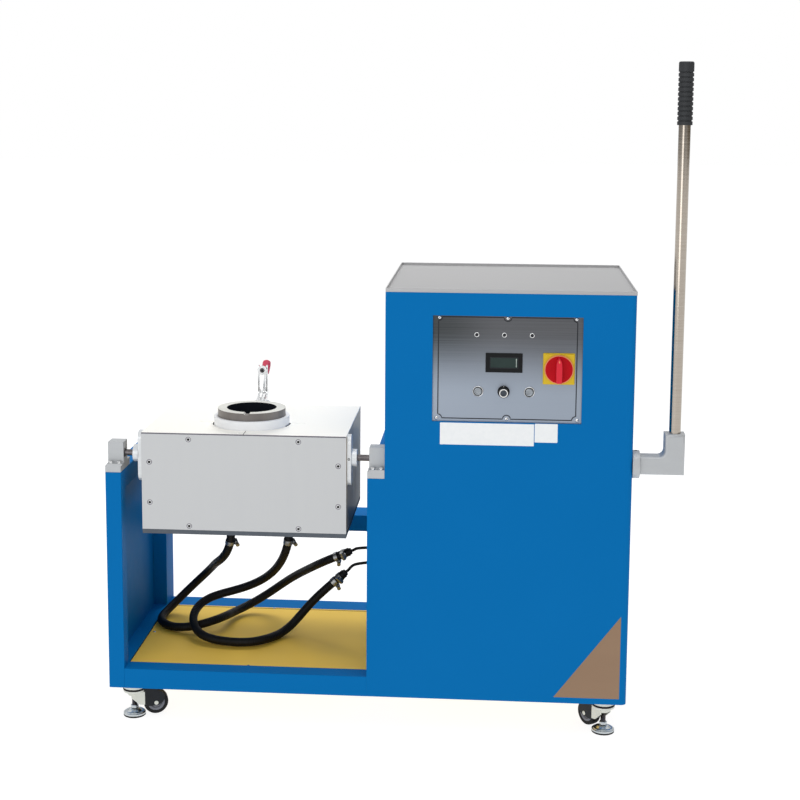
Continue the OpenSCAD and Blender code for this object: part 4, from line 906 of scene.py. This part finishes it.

# ---- Casing of the melting head
# Satin steel sheets on a bluish insulating board, under a pale lid with slits that break the ring
# round the coil. The lid's near-white colour is a painted reflection of the bright room above, and
# its front edge is darkened with painted shade. The sides are bare steel; their brown colour,
# lighter towards the top, is a painted reflection of the brown room. Countersunk socket screws
# hold it.
sheet_steel = Finish("casing_steel", (3, 4, (12, 1, 1)), (194, 196, 198), (198, 200, 201),
                     (0.12, 0.4), (0.00002,), Metallic=0.15)
mirror_side = Finish("bare_side", Specular_IOR_Level=0.2)
streak = mirror_side.noise(3.2, 5, (1, 9, 1.2))
_, _, rise = mirror_side.apart(mirror_side.place())
# Painted reflection: the brown of the room, lighter towards the top, is in the base colour.
mirror_side.give(Base_Color=mirror_side.mix(streak * 0.5 + rise.held(0.45, 0.66) * 0.5,
                                            tint(92, 76, 44), tint(204, 186, 156)),
                 Roughness=streak * 0.2 + 0.25)
mirror_side.bump(streak, 0.0002)
# Painted reflection: the lid's near-white colour stands for the bright room above it.
pale_lid = Finish("pale_lid", (5,), (253, 251, 243), (255, 254, 249), (0.12, 0.4, 40))
# Painted shade: a dark finish for the lid's front edge and the groove round each casing screw.
lid_edge = Finish("lid_edge", (60,), (84, 82, 94), (112, 110, 120), (0.2, 0.35, 200), Metallic=0.4)
board_finish = Finish("insulating_board", (90, 5), (70, 78, 88), (88, 95, 103),
                      skin=(0.0001, 400), Roughness=0.7)
dish = Finish("screw_dish", (300,), (206, 208, 209), (224, 225, 226), (0.1, 0.2, 500),
              Metallic=0.3)
for node, finish in (("head_front_plate", sheet_steel), ("head_rear_plate", sheet_steel),
                     ("head_side_plates", mirror_side)):
    eased_node(node, finish, "head", 0.4)
# The lid's front-facing faces take the dark finish of painted shade.
eased_node("head_top_plate", pale_lid, "head", 0.3,
           also=[(lid_edge, lambda c, n: n.y < -0.8 and c.y < 4)])
# Painted shade: dark blocks under the lid's slits, and one in the front slit, stand for the shade
# in them.
backing = Piece("lid_slit_backing")
for low, high, edge in (((head_x - 7.5, 6, 658), (head_x + 7.5, 36, 663.8), 0.3),
                        ((head_x - 0.75, 3.3, 660), (head_x + 0.75, 38, 666.6), 0.1),
                        ((184, 118, 658), (221, 142, 663.8), 0.3),
                        ((394, 118, 658), (430, 142, 663.8), 0.3)):
    backing.block(low, high, gap_shade, edge)
backing.done("head")
eased_node("head_base_board", board_finish, "head", 0.8)
head_spots = [((head_x + s * dx, y, z), way) for y, way in ((3, front), (343, back))
              for dx, z in ((121.5, 458), (121.5, 653), (209, 510), (209, 601)) for s in (-1, 1)]
set_heads("casing_screws", head_spots,
          [(0, -0.4), (6.4, -0.4), (6.5, 0), (6.1, 0.25), (4.8, 0.05), (4.3, 0.3), (3.6, 0.8),
           (2.6, 0.9), (2.5, 0.15), (0, 0.15)], dish, "head", replaced=("head_screws",),
          slot="polished_steel")
set_heads("casing_screw_sockets", head_spots,
          [(0, 0.1), (3.2, 0.1), (3.2, 0.95), (0, 0.95)], socket_black, "head", 6)
# Painted shade: a dark ring in the groove round each screw head.
set_heads("casing_screw_rims", head_spots,
          [(4.7, -0.2), (6.1, -0.2), (6.1, 0.3), (4.7, 0.3), (4.7, -0.2)], lid_edge, "head")

# ---- Crucible and coil
# A graphite crucible with a pale rim top, a bore darkened with painted shade and a pouring notch at
# the front, in a white ceramic sleeve on a refractory brick. A copper tube winds round the sleeve.
coil_y, bore_r, foot_r, rim_z = 123, 57, 50, 702
graphite = Finish("graphite", Metallic=0.35)
burn = graphite.noise(16, 5, (1, 1, 0.3))
graphite.give(Base_Color=graphite.mix(burn.held(0.3, 0.7), tint(116, 111, 108),
                                      tint(152, 146, 140)), Roughness=burn * 0.25 + 0.35)
graphite.bump(graphite.noise(500), 0.00012)
# A pale finish for the up-facing faces on top of the crucible's rim.
ground_rim = Finish("ground_rim", (18, 5), (196, 196, 189), (240, 239, 232), (0.2, 0.45, 200))
bore_shade = Finish("sooty_bore", (45, 5), (10, 14, 22), (26, 30, 38), skin=(0.0002, 300),
               Roughness=0.8, Specular_IOR_Level=0.15)
ceramic = Finish("white_ceramic", (14, 4), (240, 242, 246), (250, 251, 252), (0.15, 0.4, 60),
                 (0.0001, 260), Coat_Weight=0.1)


def from_bore(c):
    return math.hypot(c.x - head_x, c.y - coil_y)


# The bore and foot take a near-black finish of painted shade.
eased_node("crucible", graphite, "head", 0.9, 3, also=[
    (bore_shade, lambda c, n: from_bore(c) < bore_r and not n.z > 0.9 or from_bore(c) < foot_r),
    (ground_rim, lambda c, n: n.z > 0.55 and c.z > rim_z)])
eased_node("crucible_collar", ceramic, "head", 1.6, 3)
gap = Piece("collar_gap_shadow")
for start, end in ((172, 198), (-20, 6)):
    inner, outer = (arc(head_x, coil_y, r, start, end, 10) for r in (85.2, 87.6))
    gap.slab(inner + outer[::-1], "z", 666.8, 667.05, gap_shade, 0)
gap.done("head")

# A tube wound in a spiral
winding, wire = tree_of("wound_tube", {"Radius": "Float", "Tube": "Float", "Turns": "Float",
                                       "Height": "Float"})
spiral = winding.add("GeometryNodeCurveSpiral", None,
                     {"Resolution": 40, "Rotations": wire["Turns"], "Start Radius": wire["Radius"],
                      "End Radius": wire["Radius"], "Height": wire["Height"]})
bore = winding.add("GeometryNodeCurvePrimitiveCircle", None,
                   {"Resolution": 16, "Radius": wire["Tube"]})
stood(winding, wire, winding.add("GeometryNodeCurveToMesh", None,
                                 {0: spiral, 1: bore, "Fill Caps": True}))
grown("wound_coil", winding, [((head_x, coil_y, 494), up)], copper,
      {"Radius": 0.097, "Tube": 0.005, "Turns": 2080 / 360, "Height": 0.108,
       "Turn": math.radians(130)}, "head", ("induction_coil",), "copper")
risers = Piece("coil_risers")
(x, y, _), (u, v, _) = left_route[0], right_route[0]
risers.run([(x, y, 449), (x, y, 485), (245.3, 197.1, 491), (246.2, 198, 495)], 5, copper)
risers.run(smooth([(u, v, 449), (u, v, 590), (377, 205.8, 601), (369.85, 197.3, 602)], 6), 5,
           copper)
risers.done("head", slot="copper")

# ---- Hose fittings and terminals
# Brass hexagon fittings under the board hold the hoses' upper ends. From each lower end a short
# black lead goes on to a stud in the brown pad on the cabinet's side.
leads = [((512, 300, 320), (533.2, 300, 329), (609, 300, 336)),
         ((500, 300, 266), (525.5, 300, 288.5), (609, 300, 304))]
fitting = Piece("head_fittings")
for x, y, _ in (left_route[0], right_route[0]):
    fitting.turned([(0, 433.1), (11.6, 433.1), (12.9, 434.2), (12.9, 438), (12.3, 438.9),
                    (0, 438.9)], brass, (x, y, 0), sides=6)
    fitting.turned([(0, 425.1), (8.9, 425.1), (8.9, 433.4), (0, 433.4)], brass, (x, y, 0),
                   sides=40)
fitting.done("head", "hose_fittings", slot="brass")
phenolic = Finish("phenolic_pad", (60, 5), (96, 56, 34), (130, 80, 48), Roughness=0.5)
ends = Piece("lead_ends")
for start, bend, stud in (map(Vector, lead) for lead in leads):
    way = (bend - start).normalized()
    ends.run([start + 0.2 * way, start + 1 * way, start + 5 * way], 8, rubber, 32)
    ends.run(smooth([start + 4 * way, start + 12 * way, bend, bend.lerp(stud, 0.5),
                     stud - Vector((6, 0, 0)), stud], 6), 3.5, rubber, 20)
    ends.turned([(0, 600), (5.4, 600), (6, 600.6), (6, 607.4), (5.4, 608), (0, 608)], brass,
                (0, 300, stud.z), "x", 6)
ends.block((608, 262, 275), (617.9, 338, 365), phenolic, 1)
ends.done("frame", "hose_terminals", slot="copper", sharp=45)

# ---- Toggle clamp
# A vertical toggle clamp of pressed steel on the lid, with riveted pins, a spindle with a rubber
# foot and a pinkish red handle. It stands open, and closes forward onto the crucible's rim.
spindle = (head_x, 0, 761)
pink = Finish("pink_grip", (40,), (206, 60, 88), (230, 88, 112), (0.1, 0.45, 200),
              Specular_IOR_Level=0.3)
for node, body in (("clamp_base", "head"), ("clamp_arm", "clamp_arm"),
                   ("clamp_link", "clamp_link")):
    eased_node(node, chrome, body, 0.4)
half_plate = 2
eased_node("clamp_handle", chrome, "clamp_handle", 0.4,
           keep=lambda c: abs(abs(c.x - head_x) - half_plate) < 0.05)
foot_cap = Piece("spindle_foot")
foot_cap.turned([(0, 276.3), (5.4, 276.3), (5.8, 276.5), (6, 277.2), (0, 277.2)], dark_steel,
                spindle, "y", 32)
foot_cap.turned([(0, 276.1), (2.2, 276.1), (2.5, 276.3), (2.5, 276.8), (0, 276.8)], rubber,
                spindle, "y", 20)
foot_cap.done("clamp_arm", slot="black_rubber")
sleeve = Piece("handle_sleeve")
to = Matrix.Translation((head_x, 329.35, 744.24)) @ Matrix.Rotation(-math.atan2(33, 43), 4, "X")
sleeve.turned([(0, 0.2), (6.6, 0.2), (7.6, 1), (8.2, 4), (8.8, 9), (9.6, 17), (9.9, 24), (9.6, 29),
               (8.4, 32), (6, 33.6), (3, 34), (0, 34)], pink, sides=40, to=to)
sleeve.done("clamp_handle", slot="red_plastic", sharp=50)
set_heads("clamp_base_screws", [((head_x + dx, y, 670), up) for dx in (-14, 14)
                                for y in (250, 299)], dome(3, 1.8), chrome, "head",
          slot="polished_steel")
set_heads("clamp_rivets", [((head_x + s * 13, y, z), way) for s, way in ((-1, left), (1, right))
                           for y, z in ((262, 690), (290, 684))],
          [(0, -0.5), (3.6, -0.5), (3.7, 0.2), (3.1, 1), (1.6, 1.5), (0, 1.6)], chrome, "head")

# ---- Levelling casters
# Four casters with a pressed nickel-plated body, a black guard beside the wheel and a black tyre
# on a grey rim. A chromed foot with a rubber base screws down through the stem to level it.
nickel = Finish("pale_nickel", (40, 4), (196, 198, 188), (226, 228, 220), (0.2, 0.26),
                (0.00008, 300), Metallic=0.6)
guard_black = Finish("guard_plastic", (50,), (8, 13, 19), (20, 26, 33), skin=(0.00006, 800),
                     Roughness=0.5, Specular_IOR_Level=0.3)
foot_steel = Finish("foot_chrome", (60,), (176, 184, 186), (214, 218, 220), (0.1, 0.26),
                    Metallic=1.0)
rim_grey = Finish("wheel_rim", (60,), (96, 98, 108), (122, 124, 132), Roughness=0.5)
tyre = Finish("tyre_rubber", (60,), (8, 8, 10), (22, 22, 25), skin=(0.0001, 500), Roughness=0.7,
              Specular_IOR_Level=0.3)
axle = (48, 0, 29)


def mirrored(half):
    """A whole profile from its first half, the same on both sides of the middle."""
    return half + [(r, -h) for r, h in reversed(half)]


guard = [(21, 73), (48, 73), *arc(49, 41, 18, 88, -92, 18), (30, 21.5), (22, 23.5)]
thread = [(5.9 if k % 2 else 5.2, 25.2 + 0.9 * k) for k in range(48)]
discs = Piece("caster_top_discs")
for name, x, y, turn in (("fl", 46, 45, 18), ("fr", 1106, 45, 127), ("rl", 46, 480, 35),
                         ("rr", 1106, 480, 150)):
    to = Matrix.Translation((x, y, 0)) @ Matrix.Rotation(math.radians(turn), 4, "Z")
    discs.turned([(6.3, 54.2), (10.2, 54.2), (11, 55), (11, 75), (24.6, 75), (25.6, 75.6),
                  (26, 76.6), (26, 79.9), (6.3, 79.9)], nickel, sides=64, to=to)

    body = Piece("caster_body_" + name)
    body.turned([(11.4, 53.6), (11.4, 74), (24, 74), (24.8, 73.4), (24.8, 66.8), (23.6, 66.3),
                 (23.6, 62.5), (24.8, 62), (25, 61.4), (25, 58.2), (24.2, 57), (22.6, 56.4),
                 (16, 55.6), (15, 54.8), (14.6, 49), (14, 48), (11.9, 48), (11.4, 48.6)], nickel,
                sides=64, to=to)
    body.turned([(23.2, 62), (25.2, 62.2), (25.5, 62.7), (25.5, 66), (25.2, 66.5), (23.2, 66.7)],
                rubber, sides=64, to=to)
    for side in (-1, 1):
        y0, y1 = sorted((side * 12, side * 15))
        body.slab([(-8, 57), (-8, 44), (9, 28.5), (12, 27), (22.5, 26), (22.5, 57)],
                  "y", y0, y1, nickel, 0.5, to)
        body.slab(guard, "y", y0 + 0.1, y1 + 0.1 * side + 0.1, guard_black, 0.9, to)
        body.turned([(0, side * 14.4), (5, side * 14.4), (4.6, side * 15.6), (3, side * 16),
                     (0, side * 16.1)], nickel, axle, "y", 24, to)
    body.block((20, -13, 69.2), (46, 13, 73), nickel, 0.8, to)
    body.turned([(0, -15.8), (2.9, -15.8), (2.9, 15.8), (0, 15.8)], dark_steel, axle, "y", 24, to)
    body.done("caster_" + name, "caster_housing_" + name, slot="cream_diecast")

    wheel = Piece("caster_tyre_" + name)
    wheel.turned(mirrored([(19.4, -9.6), (20.4, -10.6), (24.6, -10.9), (26.8, -10), (27.8, -7),
                           (28, -3)]), tyre, axle, "y", 64, to)
    wheel.turned(mirrored([(3.1, -11), (6.4, -11), (6.8, -8.4), (7.6, -7.6), (13, -7.4),
                           (14, -9.2), (15, -9.8), (19.5, -9.8)]), rim_grey, axle, "y", 48, to)
    wheel.done("wheel_" + name, "caster_wheel_" + name, slot="tyre_rubber")

    foot = Piece("levelling_foot_chromed_" + name)
    foot.turned([(0, 0), (24, 0), (25, 0.8), (25.2, 2), (25, 3.2), (24, 3.9), (0, 3.9)], rubber,
                (x, y, 0), sides=64)
    foot.turned([(0, 3.6), (24.6, 3.6), (25, 4.2), (25, 7), (24.4, 7.8), (22.6, 8.2), (22, 8.4),
                 (21.8, 9.4), (21.2, 10), (19.6, 10.2), (17.2, 10), (15.6, 10.6), (13, 13.6),
                 (11, 14.8), (8.6, 15.6), (5.9, 16), (0, 16)], foot_steel, (x, y, 0), sides=64)
    foot.turned([(0, 15.8), (6, 15.8), (6, 24.6), *thread, (5, 68.6), (4, 69), (0, 69)],
                dark_steel, (x, y, 0))
    foot.turned([(5.9, 17.2), (8.2, 17.2), (9, 18), (9, 23.2), (8.2, 24), (5.9, 24)], foot_steel,
                (x, y, 0), sides=6)
    foot.done("foot_" + name, "levelling_foot_" + name, slot="polished_steel", sharp=30)
discs.done("frame", "caster_discs", slot="cream_diecast")
